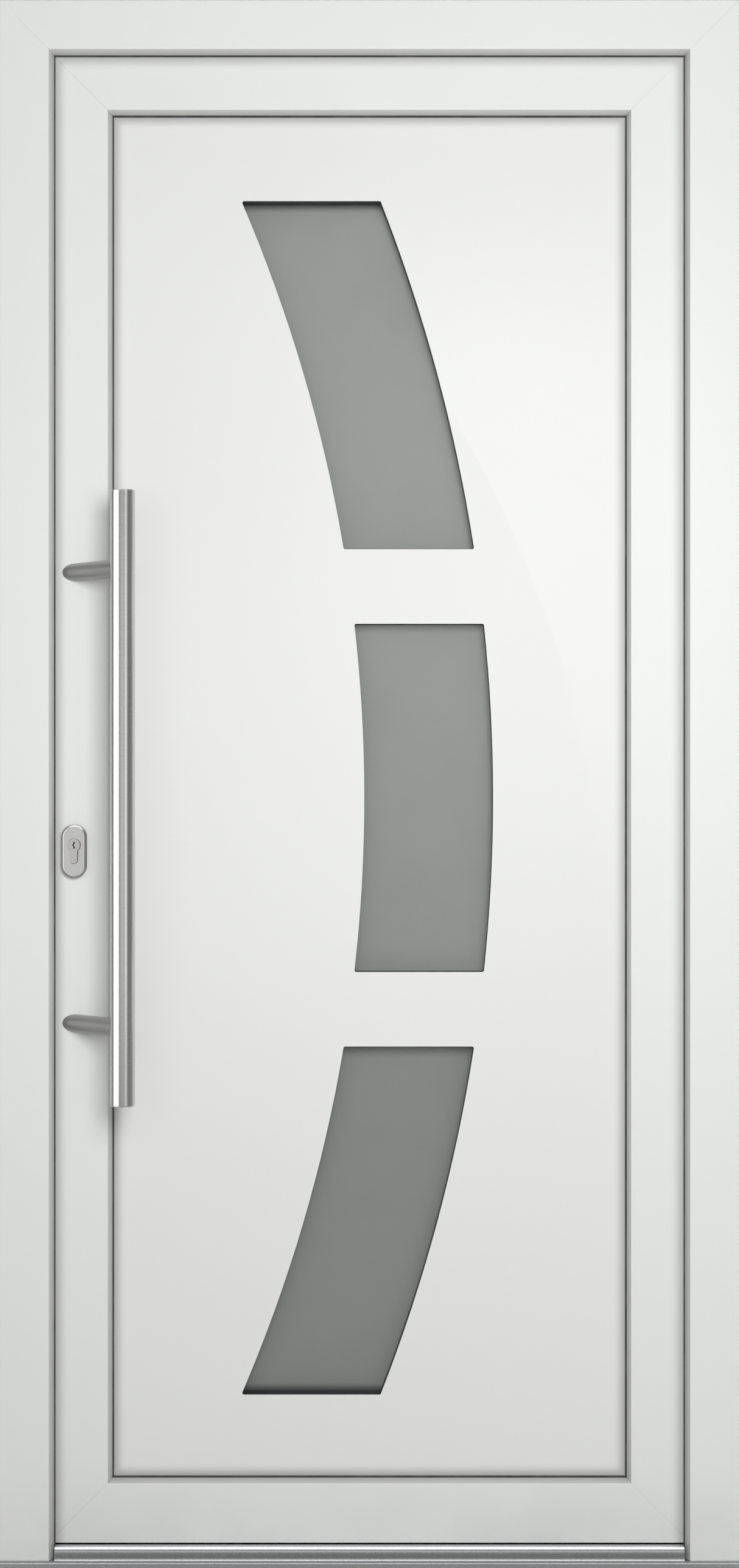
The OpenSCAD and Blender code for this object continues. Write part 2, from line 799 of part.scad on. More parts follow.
// Skin with a hole for each light
module panel_skin(y0, y1) {
    through(y0, y1) difference() {
        leaf_rect(panel_edge_w);
        lights(0);
    }
}

// The outer skin lies on the front of the glass
module panel_outer_skin() {
    color(upvc_white) panel_skin(panel_y0, glass_y0);
}

// The inner skin has a collar round each light that reaches the back of the glass
module panel_inner_skin() {
    color(upvc_white) {
        panel_skin(panel_y1 - skin_t, panel_y1);
        through(glass_y1, panel_y1 - skin_t) difference() {
            lights(glass_seat);
            lights(0);
        }
    }
}

module panel_core() {
    color(foam_grey) through(panel_y0 + skin_t, panel_y1 - skin_t) difference() {
        leaf_rect(panel_edge_w);
        lights(glass_seat + let_in_gap);
    }
}

// Gasket round the panel, from the rebate to just past the leg of the profile
module panel_gasket(y0, y1) {
    color(gasket_black) through(y0, y1) difference() {
        leaf_rect(panel_edge_w);
        leaf_rect(leaf_tip_w + gasket_show);
    }
}

module panel_outer_gasket() {
    panel_gasket(leaf_setback + leaf_leg_t, panel_y0);
}

module panel_inner_gasket() {
    panel_gasket(panel_y1, bead_y);
}

module outer_panes() {
    color(glass_grey) through(glass_y0, spacer_y0) lights(glass_seat);
}

module inner_panes() {
    color(glass_grey) through(spacer_y1, glass_y1) lights(glass_seat);
}

module pane_spacers() {
    color(break_grey) through(spacer_y0, spacer_y1) difference() {
        lights(glass_seat);
        lights(glass_seat - spacer_w);
    }
}

// PULL HANDLE

module pull_bar() {
    body_len = bar_len - 2 * cap_t;
    color(steel) translate([bar_x, bar_y, bar_z - body_len / 2]) cylinder(d = bar_d, h = body_len);
}

module pull_bar_caps() {
    color(steel) for (end = [0, 1])
        translate([bar_x, bar_y, bar_z - bar_len / 2 + end * (bar_len - cap_t)])
            cylinder(r = bar_d / 2 - cap_step, h = cap_t);
}

// Post that runs from the leaf to the bar at 45 degrees, trimmed to both
module pull_post(z) {
    reach = bar_standoff * sqrt(2);
    color(steel) difference() {
        translate([lock_x, leaf_setback, z]) rotate([90, 0, 45]) translate([0, 0, -over])
            cylinder(d = post_d, h = reach + over);
        translate([bar_x, bar_y, z - post_d])
            cylinder(r = bar_d / 2 + let_in_gap, h = 2 * post_d);
        translate([lock_x - bar_standoff, leaf_setback, z - post_d])
            cube([2 * bar_standoff, leaf_depth, 2 * post_d]);
    }
}

module pull_post_upper() {
    pull_post(bar_z + post_spacing / 2);
}

module pull_post_lower() {
    pull_post(bar_z - post_spacing / 2);
}

// LOCK

module escutcheon_outer() {
    color(steel) difference() {
        translate([lock_x, leaf_setback, escutcheon_z])
            rosette(escutcheon_w, escutcheon_h, escutcheon_t, escutcheon_chamfer);
        cylinder_hole();
    }
}

module escutcheon_inner() {
    color(steel) difference() {
        translate([lock_x, room_y, escutcheon_z]) rotate([0, 0, 180])
            rosette(escutcheon_w, escutcheon_h, escutcheon_t, escutcheon_chamfer);
        cylinder_hole();
    }
}

module cylinder_body() {
    bore_d = plug_d + 2 * running_gap;
    bore_len = plug_len + seat_gap;
    color(nickel) difference() {
        translate([lock_x, 0, cylinder_z]) through(cylinder_y0, cylinder_y1) cylinder_outline(0);
        translate([lock_x, cylinder_y0 + bore_len, cylinder_z]) rotate([90, 0, 0])
            cylinder(d = bore_d, h = bore_len + over);
        translate([lock_x, cylinder_y1 - bore_len, cylinder_z]) rotate([-90, 0, 0])
            cylinder(d = bore_d, h = bore_len + over);
    }
}

// Plug with its keyway, facing -Y from the origin
module plug() {
    color(nickel) rotate([-90, 0, 0]) difference() {
        cylinder(d = plug_d, h = plug_len);
        translate([0, 0, -over]) linear_extrude(over + keyway_depth) keyway_outline();
    }
}

module cylinder_plug() {
    translate([lock_x, cylinder_y0, cylinder_z]) plug();
}

module cylinder_plug_inner() {
    translate([lock_x, cylinder_y1, cylinder_z]) rotate([0, 0, 180]) plug();
}

module lock_faceplate() {
    face_w = lock_groove_w - 2 * let_in_gap;
    face_len = leaf_z1 - leaf_z0 - 2 * faceplate_inset;
    color(steel) translate([-leaf_x, 0, 0]) rotate([90, 0, 90]) linear_extrude(lock_groove_d) difference() {
        translate([groove_y, leaf_mid_z]) rounded_rect(face_w, face_len, face_w / 2 - let_in_gap);
        for (b = bolts) translate([groove_y, b[0]])
            square([bolt_w + 2 * let_in_gap, b[1] + 2 * let_in_gap], center = true);
    }
}

// Latch and bolts, drawn back flush with the faceplate
module lock_bolts() {
    color(nickel) for (b = bolts)
        translate([-leaf_x, groove_y - bolt_w / 2, b[0] - b[1] / 2]) cube([bolt_len, bolt_w, b[1]]);
}

// LEVER

module lever_rose() {
    color(steel) translate([lock_x, room_y, lever_z]) rotate([0, 0, 180])
        rosette(escutcheon_w, escutcheon_h, escutcheon_t, escutcheon_chamfer);
}

// Round lever that returns towards the leaf
module lever() {
    r = lever_d / 2;
    neck_y = room_y + escutcheon_t;
    bend_y = room_y + lever_standoff - lever_bend_r;
    end_x = lever_reach - r;
    straight = end_x - 2 * lever_bend_r;
    grip_y = room_y + lever_standoff;
    return_len = bend_y - room_y - lever_return_gap;
    color(steel) translate([lock_x, 0, lever_z]) {
        translate([0, bend_y, 0]) rotate([90, 0, 0]) cylinder(r = r, h = bend_y - neck_y);
        translate([lever_bend_r, bend_y, 0]) rotate([0, 0, 90])
            rotate_extrude(angle = 90) translate([lever_bend_r, 0]) circle(r);
        translate([lever_bend_r, grip_y, 0]) rotate([0, 90, 0]) cylinder(r = r, h = straight);
        translate([end_x - lever_bend_r, bend_y, 0])
            rotate_extrude(angle = 90) translate([lever_bend_r, 0]) circle(r);
        translate([end_x, bend_y, 0]) rotate([90, 0, 0]) cylinder(r = r, h = return_len);
    }
}

// HINGES

// Length of barrel with chamfered ends, standing on z = 0
module barrel(h) {
    r = barrel_d / 2;
    c = barrel_chamfer;
    rotate_extrude() polygon([[0, 0], [r - c, 0], [r, c], [r, h - c], [r - c, h], [0, h]]);
}

// Part on the frame: plate, web, two knuckles and the pin through them
module hinge_frame_part(mid_z) {
    z0 = mid_z - hinge_h / 2;
    knuckle_h = (hinge_h - leaf_knuckle_h) / 2 - knuckle_gap;
    plate_x = flange_x + frame_plate_gap;
    plate_top = frame_depth + hinge_plate_t;
    web_x = hinge_x + barrel_d / 2 - hinge_web_t;
    color(upvc_white) {
        translate([plate_x + frame_plate_w / 2, 0, mid_z]) through(frame_depth, plate_top)
            rounded_rect(frame_plate_w, hinge_h, plate_corner_r);
        for (z = [z0, z0 + hinge_h - knuckle_h]) {
            translate([hinge_x, hinge_y, z]) barrel(knuckle_h);
            translate([0, 0, z + barrel_chamfer]) linear_extrude(knuckle_h - 2 * barrel_chamfer)
                polygon([[web_x, plate_top], [web_x + 2 * hinge_web_t, plate_top],
                         [web_x + hinge_web_t, hinge_y], [web_x, hinge_y]]);
        }
        translate([hinge_x, hinge_y, z0 + barrel_chamfer])
            cylinder(d = pin_d, h = hinge_h - 2 * barrel_chamfer);
    }
}

// Part on the leaf: plate, arm and the middle knuckle
module hinge_leaf_part(mid_z) {
    z0 = mid_z - leaf_knuckle_h / 2;
    plate_x = flange_x - leaf_plate_inset - leaf_plate_w;
    plate_top = room_y + hinge_plate_t;
    r = barrel_d / 2;
    arm = [[hinge_x - barrel_d - r, plate_top], [hinge_x - barrel_d, plate_top - hinge_plate_t / 2],
           [hinge_x - r, plate_top - hinge_plate_t / 4], [hinge_x, hinge_y - r], [hinge_x, hinge_y + r]];
    color(upvc_white) difference() {
        union() {
            translate([plate_x + leaf_plate_w / 2, 0, mid_z]) through(room_y, plate_top)
                rounded_rect(leaf_plate_w, leaf_plate_h, plate_corner_r);
            translate([hinge_x, hinge_y, z0]) barrel(leaf_knuckle_h);
            translate([0, 0, z0 + barrel_chamfer]) linear_extrude(leaf_knuckle_h - 2 * barrel_chamfer)
                polygon(arm);
        }
        translate([hinge_x, hinge_y, z0 - over])
            cylinder(r = pin_d / 2 + running_gap, h = leaf_knuckle_h + 2 * over);
    }
}

module hinge_upper_frame_part() {
    hinge_frame_part(hinge_hi);
}

module hinge_middle_frame_part() {
    hinge_frame_part(leaf_mid_z);
}

module hinge_lower_frame_part() {
    hinge_frame_part(hinge_lo);
}

module hinge_upper_leaf_part() {
    hinge_leaf_part(hinge_hi);
}

module hinge_middle_leaf_part() {
    hinge_leaf_part(leaf_mid_z);
}

module hinge_lower_leaf_part() {
    hinge_leaf_part(hinge_lo);
}

frame_lock_jamb();
frame_hinge_jamb();
frame_head();
frame_gasket();
sill_rail();
threshold_outer();
threshold_break();
threshold_inner();
strike_plate_upper();
strike_plate_middle();
strike_plate_lower();
hinge_upper_frame_part();
hinge_middle_frame_part();
hinge_lower_frame_part();
leaf_lock_stile();
leaf_hinge_stile();
leaf_top_rail();
leaf_bottom_rail();
leaf_gasket();
leaf_bottom_brush();
bead_lock_side();
bead_hinge_side();
bead_top();
bead_bottom();
panel_outer_skin();
panel_core();
panel_inner_skin();
panel_outer_gasket();
panel_inner_gasket();
outer_panes();
pane_spacers();
inner_panes();
pull_bar();
pull_bar_caps();
pull_post_upper();
pull_post_lower();
escutcheon_outer();
escutcheon_inner();
cylinder_body();
cylinder_plug();
cylinder_plug_inner();
lever_rose();
lever();
lock_faceplate();
lock_bolts();
hinge_upper_leaf_part();
hinge_middle_leaf_part();
hinge_lower_leaf_part();
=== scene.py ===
"""White uPVC front door set: the finish of every surface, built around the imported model.

Lengths are in metres. X runs to the right seen from outside, Y into the room and Z up.
"""

import logging
import math
from collections.abc import Callable, Sequence
from dataclasses import dataclass, field
from enum import Enum

import bmesh
import bpy
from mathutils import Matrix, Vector


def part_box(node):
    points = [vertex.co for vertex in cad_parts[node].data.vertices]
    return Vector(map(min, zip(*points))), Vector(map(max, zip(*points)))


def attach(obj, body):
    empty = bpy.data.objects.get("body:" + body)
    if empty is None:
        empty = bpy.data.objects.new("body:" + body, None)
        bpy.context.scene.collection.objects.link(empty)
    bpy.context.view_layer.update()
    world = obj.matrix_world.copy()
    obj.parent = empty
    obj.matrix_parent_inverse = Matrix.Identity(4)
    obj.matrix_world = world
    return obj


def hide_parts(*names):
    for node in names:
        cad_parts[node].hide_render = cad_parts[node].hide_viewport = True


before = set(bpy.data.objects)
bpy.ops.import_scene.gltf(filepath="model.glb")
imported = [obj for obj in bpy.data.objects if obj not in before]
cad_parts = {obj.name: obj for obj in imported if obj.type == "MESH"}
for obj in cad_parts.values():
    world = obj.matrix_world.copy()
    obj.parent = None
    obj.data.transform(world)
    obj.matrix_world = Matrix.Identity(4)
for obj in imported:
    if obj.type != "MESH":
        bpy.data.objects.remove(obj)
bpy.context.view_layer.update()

LOG = logging.getLogger("front_door")
MM = 0.001
TURN = 2 * math.pi

Colour = tuple[float, float, float]
Point = tuple[float, float, float]


class Axis(Enum):
    """A direction of the door, as a unit vector."""

    X = (1.0, 0.0, 0.0)
    Y = (0.0, 1.0, 0.0)
    Z = (0.0, 0.0, 1.0)


class Body(Enum):
    """The bodies that pieces ride on."""

    FRAME = "frame"
    LEAF = "leaf"
    PLUG = "plug"


class Slot(Enum):
    """Names of the material slots."""

    UPVC = "upvc_white"
    PANEL = "panel_white"
    FOAM = "panel_foam"
    RUBBER = "gasket_black"
    GLASS = "glass_obscure"
    STEEL = "stainless"
    ALUMINIUM = "aluminium_mill"
    NICKEL = "nickel"
    BREAK = "thermal_break"


# Materials


class Socket:
    """A value inside a material that takes part in ordinary arithmetic."""

    def __init__(self, shader: "Shader", output: bpy.types.NodeSocket) -> None:
        """Wraps a socket.

        Args:
            shader: the material that the socket belongs to.
            output: the output socket of a node.
        """
        self.shader = shader
        self.output = output

    def _maths(self, operation: str, first: "Value", second: "Value") -> "Socket":
        """Adds one Math node.

        Args:
            operation: the Math node's operation.
            first: its first value.
            second: its second value.

        Returns:
            The node's result.
        """
        return self.shader.node("ShaderNodeMath", {"operation": operation}, {0: first, 1: second})

    def __add__(self, other: "Value") -> "Socket":
        """Adds a value."""
        return self._maths("ADD", self, other)

    def __radd__(self, other: "Value") -> "Socket":
        """Adds this to a number."""
        return self._maths("ADD", other, self)

    def __sub__(self, other: "Value") -> "Socket":
        """Takes a value away."""
        return self._maths("SUBTRACT", self, other)

    def __rsub__(self, other: "Value") -> "Socket":
        """Takes this away from a number."""
        return self._maths("SUBTRACT", other, self)

    def __mul__(self, other: "Value") -> "Socket":
        """Multiplies by a value."""
        return self._maths("MULTIPLY", self, other)

    def __rmul__(self, other: "Value") -> "Socket":
        """Multiplies a number by this."""
        return self._maths("MULTIPLY", other, self)


Value = Socket | float


class Shader:
    """The node tree of one material, written as expressions."""

    def __init__(self, name: str) -> None:
        """Starts an empty material.

        Args:
            name: the material's name.
        """
        self.material = bpy.data.materials.new(name)
        self.material.use_nodes = True
        self.tree = self.material.node_tree
        self.tree.nodes.clear()

    def node(self, kind: str, settings: dict[str, object], sockets: dict[int | str, object],
             output: int = 0) -> Socket:
        """Adds any node.

        Args:
            kind: the node's type.
            settings: the node's own settings, set first. The key stops sets a ramp's stops.
            sockets: a value or a Socket for each named or numbered input.
            output: which output to hand back.

        Returns:
            The chosen output.
        """
        made = self.tree.nodes.new(kind)
        for key, value in settings.items():
            if key == "stops":
                self._set_stops(made.color_ramp, value)
            else:
                setattr(made, key, value)
        for key, value in sockets.items():
            if isinstance(value, Socket):
                self.tree.links.new(value.output, made.inputs[key])
            else:
                made.inputs[key].default_value = value
        return Socket(self, made.outputs[output]) if made.outputs else None

    @staticmethod
    def _set_stops(ramp: bpy.types.ColorRamp, stops: Sequence[tuple[float, float]]) -> None:
        """Writes the stops of a grey ramp.

        Args:
            ramp: the ramp.
            stops: position and brightness of each stop.
        """
        while len(ramp.elements) < len(stops):
            ramp.elements.new(1.0)
        for element, (position, level) in zip(ramp.elements, stops):
            element.position = position
            element.color = (level, level, level, 1.0)

    def position(self) -> Socket:
        """Returns the point on the object, in metres."""
        return self.node("ShaderNodeTexCoord", {}, {}, output=3)

    def facing_out(self) -> Socket:
        """Returns 1 where the surface looks out of or into the house and 0 where it looks sideways."""
        across = self.node("ShaderNodeSeparateXYZ", {}, {0: self.node("ShaderNodeTexCoord", {}, {}, output=1)},
                           output=1)
        return across * across

    def height(self) -> Socket:
        """Returns the point's height in metres."""
        return self.along(Axis.Z)

    def along(self, axis: Axis) -> Socket:
        """Returns the point's distance along an axis, in metres.

        Args:
            axis: the direction that is measured.
        """
        return self.node("ShaderNodeSeparateXYZ", {}, {0: self.position()}, output=list(Axis).index(axis))

    def off_middle(self, axis: Axis, middle: float) -> Socket:
        """Returns how far the point is from a middle plane, in metres.

        Args:
            axis: the direction that is measured.
            middle: where the plane lies along it.
        """
        return self.node("ShaderNodeMath", {"operation": "ABSOLUTE"}, {0: self.along(axis) - middle})

    def rim(self, half: tuple[float, float], middle: float, width: float) -> Socket:
        """Returns how near the point is to the edge of an upright rectangle.

        Args:
            half: half the rectangle's width and height.
            middle: height of its middle.
            width: how far in the rim reaches.

        Returns:
            1 at the edge, falling to 0 inside it.
        """
        across = self.between(self.off_middle(Axis.X, 0.0), half[0] - width, half[0], 0.0, 1.0)
        upright = self.between(self.off_middle(Axis.Z, middle), half[1] - width, half[1], 0.0, 1.0)
        return 1 - (1 - across * across) * (1 - upright * upright)

    def stretched(self, scale: Point) -> Socket:
        """Returns the point on the object with each direction scaled by its own factor.

        Args:
            scale: the factor for each direction.
        """
        return self.node("ShaderNodeVectorMath", {"operation": "MULTIPLY"}, {0: self.position(), 1: scale})

    def noise(self, vector: Socket, scale: float, detail: float = 2.0) -> Socket:
        """Adds a noise pattern.

        Args:
            vector: the point that it reads.
            scale: patches per metre.
            detail: number of finer layers.

        Returns:
            A value about 0.5.
        """
        return self.node("ShaderNodeTexNoise", {}, {"Vector": vector, "Scale": scale, "Detail": detail})

    def between(self, value: Socket, low: float, high: float, start: float, end: float) -> Socket:
        """Maps a value from one range to another, smoothly and within its ends.

        Args:
            value: what is mapped.
            low: value that gives start.
            high: value that gives end.
            start: result at low.
            end: result at high.

        Returns:
            The mapped value.
        """
        return self.node("ShaderNodeMapRange", {"interpolation_type": "SMOOTHSTEP"},
                         {0: value, 1: low, 2: high, 3: start, 4: end})

    def blend(self, factor: "Value", first: "Colour | Socket", second: "Colour | Socket") -> Socket:
        """Mixes two colours.

        Args:
            factor: 0 for the first colour, 1 for the second.
            first: a linear colour.
            second: a linear colour.

        Returns:
            The mixed colour.
        """
        ends = [end if isinstance(end, Socket) else (*end, 1.0) for end in (first, second)]
        return self.node("ShaderNodeMix", {"data_type": "RGBA"}, {0: factor, 6: ends[0], 7: ends[1]}, output=2)

    def bump(self, heights: Sequence[tuple[Socket, float]]) -> Socket:
        """Chains bumps.

        Args:
            heights: each pattern with its relief in metres.

        Returns:
            The bent normal.
        """
        normal = None
        for pattern, relief in heights:
            sockets: dict[int | str, object] = {"Height": pattern, "Distance": relief, "Strength": 1.0}
            if normal is not None:
                sockets["Normal"] = normal
            normal = self.node("ShaderNodeBump", {}, sockets)
        return normal

    def surface(self, sockets: dict[int | str, object]) -> bpy.types.Material:
        """Closes the material with one principled shader.

        Args:
            sockets: values and links of the shader.

        Returns:
            The finished material.
        """
        shader = self.node("ShaderNodeBsdfPrincipled", {}, sockets)
        self.node("ShaderNodeOutputMaterial", {}, {"Surface": shader})
        return self.material


@dataclass(frozen=True)
class Upvc:
    """Extruded white uPVC with faint draw lines along the profile and a soft skin, dust near the floor, and painted
    shade in the bevels and round the leaf's face.
    """

    name: str
    along: Axis = Axis.Z
    colour: Colour = (0.855, 0.868, 0.855)
    dust_and_shade: Colour = (0.42, 0.42, 0.41)
    roughness: float = 0.30
    draw_lines: float = 420.0
    draw_relief: float = 0.010 * MM
    skin_relief: float = 0.016 * MM
    dust_top: float = 0.16
    bevel_shade: float = 0.85
    leaf_half: tuple[float, float] = (0.422, 1.029)
    leaf_middle: float = 0.998
    leaf_face: float = 15 * MM
    rim: float = 22 * MM
    rim_shade: float = 0.36

    def make(self) -> bpy.types.Material:
        """Returns the material."""
        s = Shader(self.name)
        across = tuple(self.draw_lines * (0.006 if a else 1.0) for a in self.along.value)
        lines = s.noise(s.stretched(across), 1.0)
        skin = s.noise(s.position(), 700.0)
        patches = s.noise(s.position(), 7.0, 4.0)
        dust = s.between(s.height(), 0.0, self.dust_top, 0.22, 0.0) * s.between(patches, 0.35, 0.75, 0.2, 1.0)
        # Painted shade: how strongly faces that look sideways are darkened, by their depth into the bevels and
        # rebates.
        depth = s.along(Axis.Y)
        deeper = s.between(depth, 2 * MM, 12 * MM, 0.62, 1.0) - s.between(depth, 13.5 * MM, 14.5 * MM, 0.0, 0.38)
        deeper = deeper + s.between(depth, 17 * MM, 27 * MM, 0.0, 0.38)
        # Painted shade on the leaf's face, growing darker towards its edges next to the frame.
        on_face = s.between(s.node("ShaderNodeMath", {"operation": "ABSOLUTE"}, {0: depth - self.leaf_face}),
                            0.5 * MM, 1.5 * MM, self.rim_shade, 0.0)
        rim_shade_mask = s.rim(self.leaf_half, self.leaf_middle, self.rim) * on_face
        outdoors = s.between(depth, 30 * MM, 34 * MM, 1.0, 0.15)
        off_wall = (s.between(s.off_middle(Axis.X, 0.0), 0.470, 0.480, 1.0, 0.15)
                    * s.between(s.height(), 2.075, 2.085, 1.0, 0.15))
        # Painted shade on faces that look sideways, weaker on the frame's outer sides and top; it shares the dust's
        # colour.
        bevel_shade = s.between(s.facing_out(), 0.1, 0.8, self.bevel_shade, 0.0) * deeper * outdoors * off_wall
        tone = s.blend(1 - (1 - dust) * (1 - bevel_shade), self.colour, self.dust_and_shade)
        # Painted shade round the edge of the leaf's face, mixed towards black.
        tone = s.blend(rim_shade_mask, tone, (0.0, 0.0, 0.0))
        rough = self.roughness + (patches - 0.5) * 0.12 + dust * 0.15
        return s.surface({"Base Color": tone, "Roughness": rough, "IOR": 1.5, "Specular IOR Level": 0.42,
                          "Normal": s.bump([(lines, self.draw_relief), (skin, self.skin_relief)])})


@dataclass(frozen=True)
class PanelSkin:
    """White acrylic-capped panel skin, flat with a slight ripple."""

    name: str = "panel_skin_white"
    colour: Colour = (0.865, 0.875, 0.865)
    roughness: float = 0.26
    ripple_relief: float = 0.06 * MM
    skin_relief: float = 0.010 * MM
    sight_half: tuple[float, float] = (0.345, 0.917)
    sight_middle: float = 1.033
    rim: float = 20 * MM
    rim_shade_tone: float = 0.38

    def make(self) -> bpy.types.Material:
        """Returns the material, with painted shade along the edge of the panel."""
        s = Shader(self.name)
        # Painted shade: the skin darkens towards the edge of the sight opening, next to the gasket.
        rim = s.rim(self.sight_half, self.sight_middle, self.rim)
        ripple = s.noise(s.position(), 9.0, 1.0)
        skin = s.noise(s.position(), 850.0)
        patches = s.noise(s.position(), 1.6, 1.0)
        warm = tuple(c * f for c, f in zip(self.colour, (0.988, 0.985, 0.978)))
        clean = s.blend(s.between(patches, 0.2, 0.8, 0.0, 1.0), self.colour, warm)
        tone = s.blend(rim * (1 - self.rim_shade_tone), clean, tuple(c * self.rim_shade_tone for c in self.colour))
        return s.surface({"Base Color": tone, "Roughness": self.roughness + (skin - 0.5) * 0.06,
                          "IOR": 1.49, "Specular IOR Level": 0.42,
                          "Normal": s.bump([(ripple, self.ripple_relief), (skin, self.skin_relief)])})


@dataclass(frozen=True)
class Rubber:
    """Black sealing rubber with a dusty bloom."""

    name: str = "gasket_rubber"
    colour: Colour = (0.04, 0.04, 0.041)
    bloom: Colour = (0.09, 0.09, 0.088)
    grain: float = 900.0

    def make(self) -> bpy.types.Material:
        """Returns the material."""
        s = Shader(self.name)
        grain = s.noise(s.position(), self.grain)
        bloom = s.between(s.noise(s.position(), 30.0, 3.0), 0.4, 0.75, 0.0, 0.7)
        return s.surface({"Base Color": s.blend(bloom, self.colour, self.bloom),
                          "Roughness": 0.55 + grain * 0.2,
                          "Normal": s.bump([(grain, 0.03 * MM)])})


@dataclass(frozen=True)
class ClearGlass:
    """Clear float glass of the outer panes, with a breath of dust."""

    name: str = "clear_glass"
    colour: Colour = (0.12, 0.13, 0.125)
    alpha: float = 0.05
    roughness: float = 0.05

    def make(self) -> bpy.types.Material:
        """Returns the material."""
        s = Shader(self.name)
        film = s.between(s.noise(s.position(), 12.0, 4.0), 0.45, 0.75, 0.0, 0.012)
        return s.surface({"Base Color": (*self.colour, 1.0), "Roughness": self.roughness + film,
                          "Alpha": self.alpha + film, "IOR": 1.5,
                          "Normal": s.bump([(s.noise(s.position(), 3.0, 1.0), 0.02 * MM)])})


@dataclass(frozen=True)
class SatinGlass:
    """Obscured glass that scatters what lies behind it into an even grey."""

    name: str = "satin_glass"
    colour: Colour = (0.382, 0.398, 0.380)
    roughness: float = 0.42
    transmission: float = 0.15
    spacer_overlap: float = 8 * MM
    shade: float = 11 * MM
    shade_tone: float = 0.3
    lower_light_top: float = 0.72
    lower_shade_tone: float = 0.88

    def make(self) -> bpy.types.Material:
        """Returns the material, with a painted shadow beside the spacers at the top and foot of the row of lights,
        and painted shade over the lower light.
        """
        s = Shader(self.name)
        low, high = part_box("pane_spacers")
        middle, half = (low.z + high.z) / 2, (high.z - low.z) / 2 - self.spacer_overlap
        # Painted shadow cast by the spacers onto the pane, at the top and foot of the row of lights.
        shade = s.between(s.off_middle(Axis.Z, middle), half - self.shade, half, 0.0, 1.0 - self.shade_tone)
        etch = s.noise(s.position(), 1400.0)
        cloud = s.noise(s.position(), 4.0, 3.0)
        clouded = s.blend(s.between(cloud, 0.35, 0.7, 0.0, 1.0), self.colour, tuple(c * 0.975 for c in self.colour))
        # Painted shade: the lower light is darker than those above it.
        lower = s.between(s.height(), self.lower_light_top, self.lower_light_top + 0.05, 1.0 - self.lower_shade_tone, 0.0)
        tone = s.blend(1 - (1 - shade) * (1 - lower), clouded, (0.0, 0.0, 0.004))
        return s.surface({"Base Color": tone, "Roughness": self.roughness + (etch - 0.5) * 0.15,
                          "Transmission Weight": self.transmission, "IOR": 1.45,
                          "Normal": s.bump([(etch, 0.012 * MM)])})


@dataclass(frozen=True)
class BrushedSteel:
    """Stainless steel with fine brush lines across one direction."""

    name: str
    fine: Axis = Axis.Z
    colour: Colour = (0.64, 0.64, 0.63)
    roughness: float = 0.24
    lines: float = 2600.0
    relief: float = 0.0015 * MM
    rim_shade_tone: float = 1.0

    def make(self) -> bpy.types.Material:
        """Returns the material, with painted shade on faces that look sideways, in the rim's tone."""
        s = Shader(self.name)
        scale = tuple(self.lines * (1.0 if a else 0.01) for a in self.fine.value)
        brush = s.noise(s.stretched(scale), 1.0, 3.0)
        smear = s.noise(s.position(), 14.0, 3.0)
        dark = tuple(c * 0.93 for c in self.colour)
        tone = s.blend(s.between(brush, 0.3, 0.75, 0.0, 1.0), self.colour, dark)
        # Painted shade on faces that look sideways, mixed towards black.
        if self.rim_shade_tone < 1.0:
            rim = s.between(s.facing_out(), 0.1, 0.95, 1.0 - self.rim_shade_tone, 0.0)
            tone = s.blend(rim, tone, (0.0, 0.0, 0.0))
        return s.surface({"Base Color": tone,
                          "Metallic": 1.0,
                          "Roughness": self.roughness + (brush - 0.5) * 0.14 + (smear - 0.5) * 0.1,
                          "Normal": s.bump([(brush, self.relief)])})


@dataclass(frozen=True)
class Nickel:
    """Satin nickel plate of the cylinder, a little warmer than the steel round it."""

    name: str = "cylinder_nickel"
    colour: Colour = (0.72, 0.71, 0.69)
    roughness: float = 0.34

    def make(self) -> bpy.types.Material:
        """Returns the material."""
        s = Shader(self.name)
        grain = s.noise(s.position(), 2200.0)
        wear = s.between(s.noise(s.position(), 320.0, 4.0), 0.55, 0.75, 0.0, 0.6)
        worn = tuple(c * 0.7 for c in self.colour)
        return s.surface({"Base Color": s.blend(wear, self.colour, worn), "Metallic": 1.0,
                          "Roughness": self.roughness + (grain - 0.5) * 0.2 + wear * 0.15,
                          "Normal": s.bump([(grain, 0.004 * MM)])})


@dataclass(frozen=True)
class Aluminium:
    """Anodised aluminium, drawn along X, with scuffs where feet pass."""

    name: str = "threshold_aluminium"
    colour: Colour = (0.62, 0.63, 0.64)
    lower_band_colour: Colour = (0.31, 0.315, 0.32)
    band_top: float = 24 * MM
    roughness: float = 0.27

    def make(self) -> bpy.types.Material:
        """Returns the material, darker below the rounding of the nose."""
        s = Shader(self.name)
        drawn = s.noise(s.stretched((6.0, 900.0, 900.0)), 1.0, 3.0)
        grit = s.noise(s.stretched((700.0, 1400.0, 1400.0)), 1.0, 3.0)
        scuff = s.between(s.noise(s.stretched((9.0, 30.0, 30.0)), 1.0, 4.0), 0.4, 0.8, 0.0, 1.0)
        dull = tuple(c * 0.82 for c in self.colour)
        clean = s.blend(scuff * 0.3 + s.between(grit, 0.5, 0.7, 0.0, 0.5), self.colour, dull)
        # Darker band on the nose's face, from below its rounding down towards the shelf.
        height = s.height() + (grit - 0.5) * 8 * MM
        lower_band = (s.between(height, self.band_top - 7 * MM, self.band_top, 1.0, 0.0)
                * s.between(height, 7 * MM, 15 * MM, 0.3, 1.0))
        return s.surface({"Base Color": s.blend(lower_band, clean, self.lower_band_colour),
                          "Metallic": 1.0,
                          "Roughness": self.roughness + (drawn - 0.5) * 0.1 + (grit - 0.5) * 0.12 + scuff * 0.05,
                          "Normal": s.bump([(drawn, 0.003 * MM), (grit, 0.004 * MM)])})


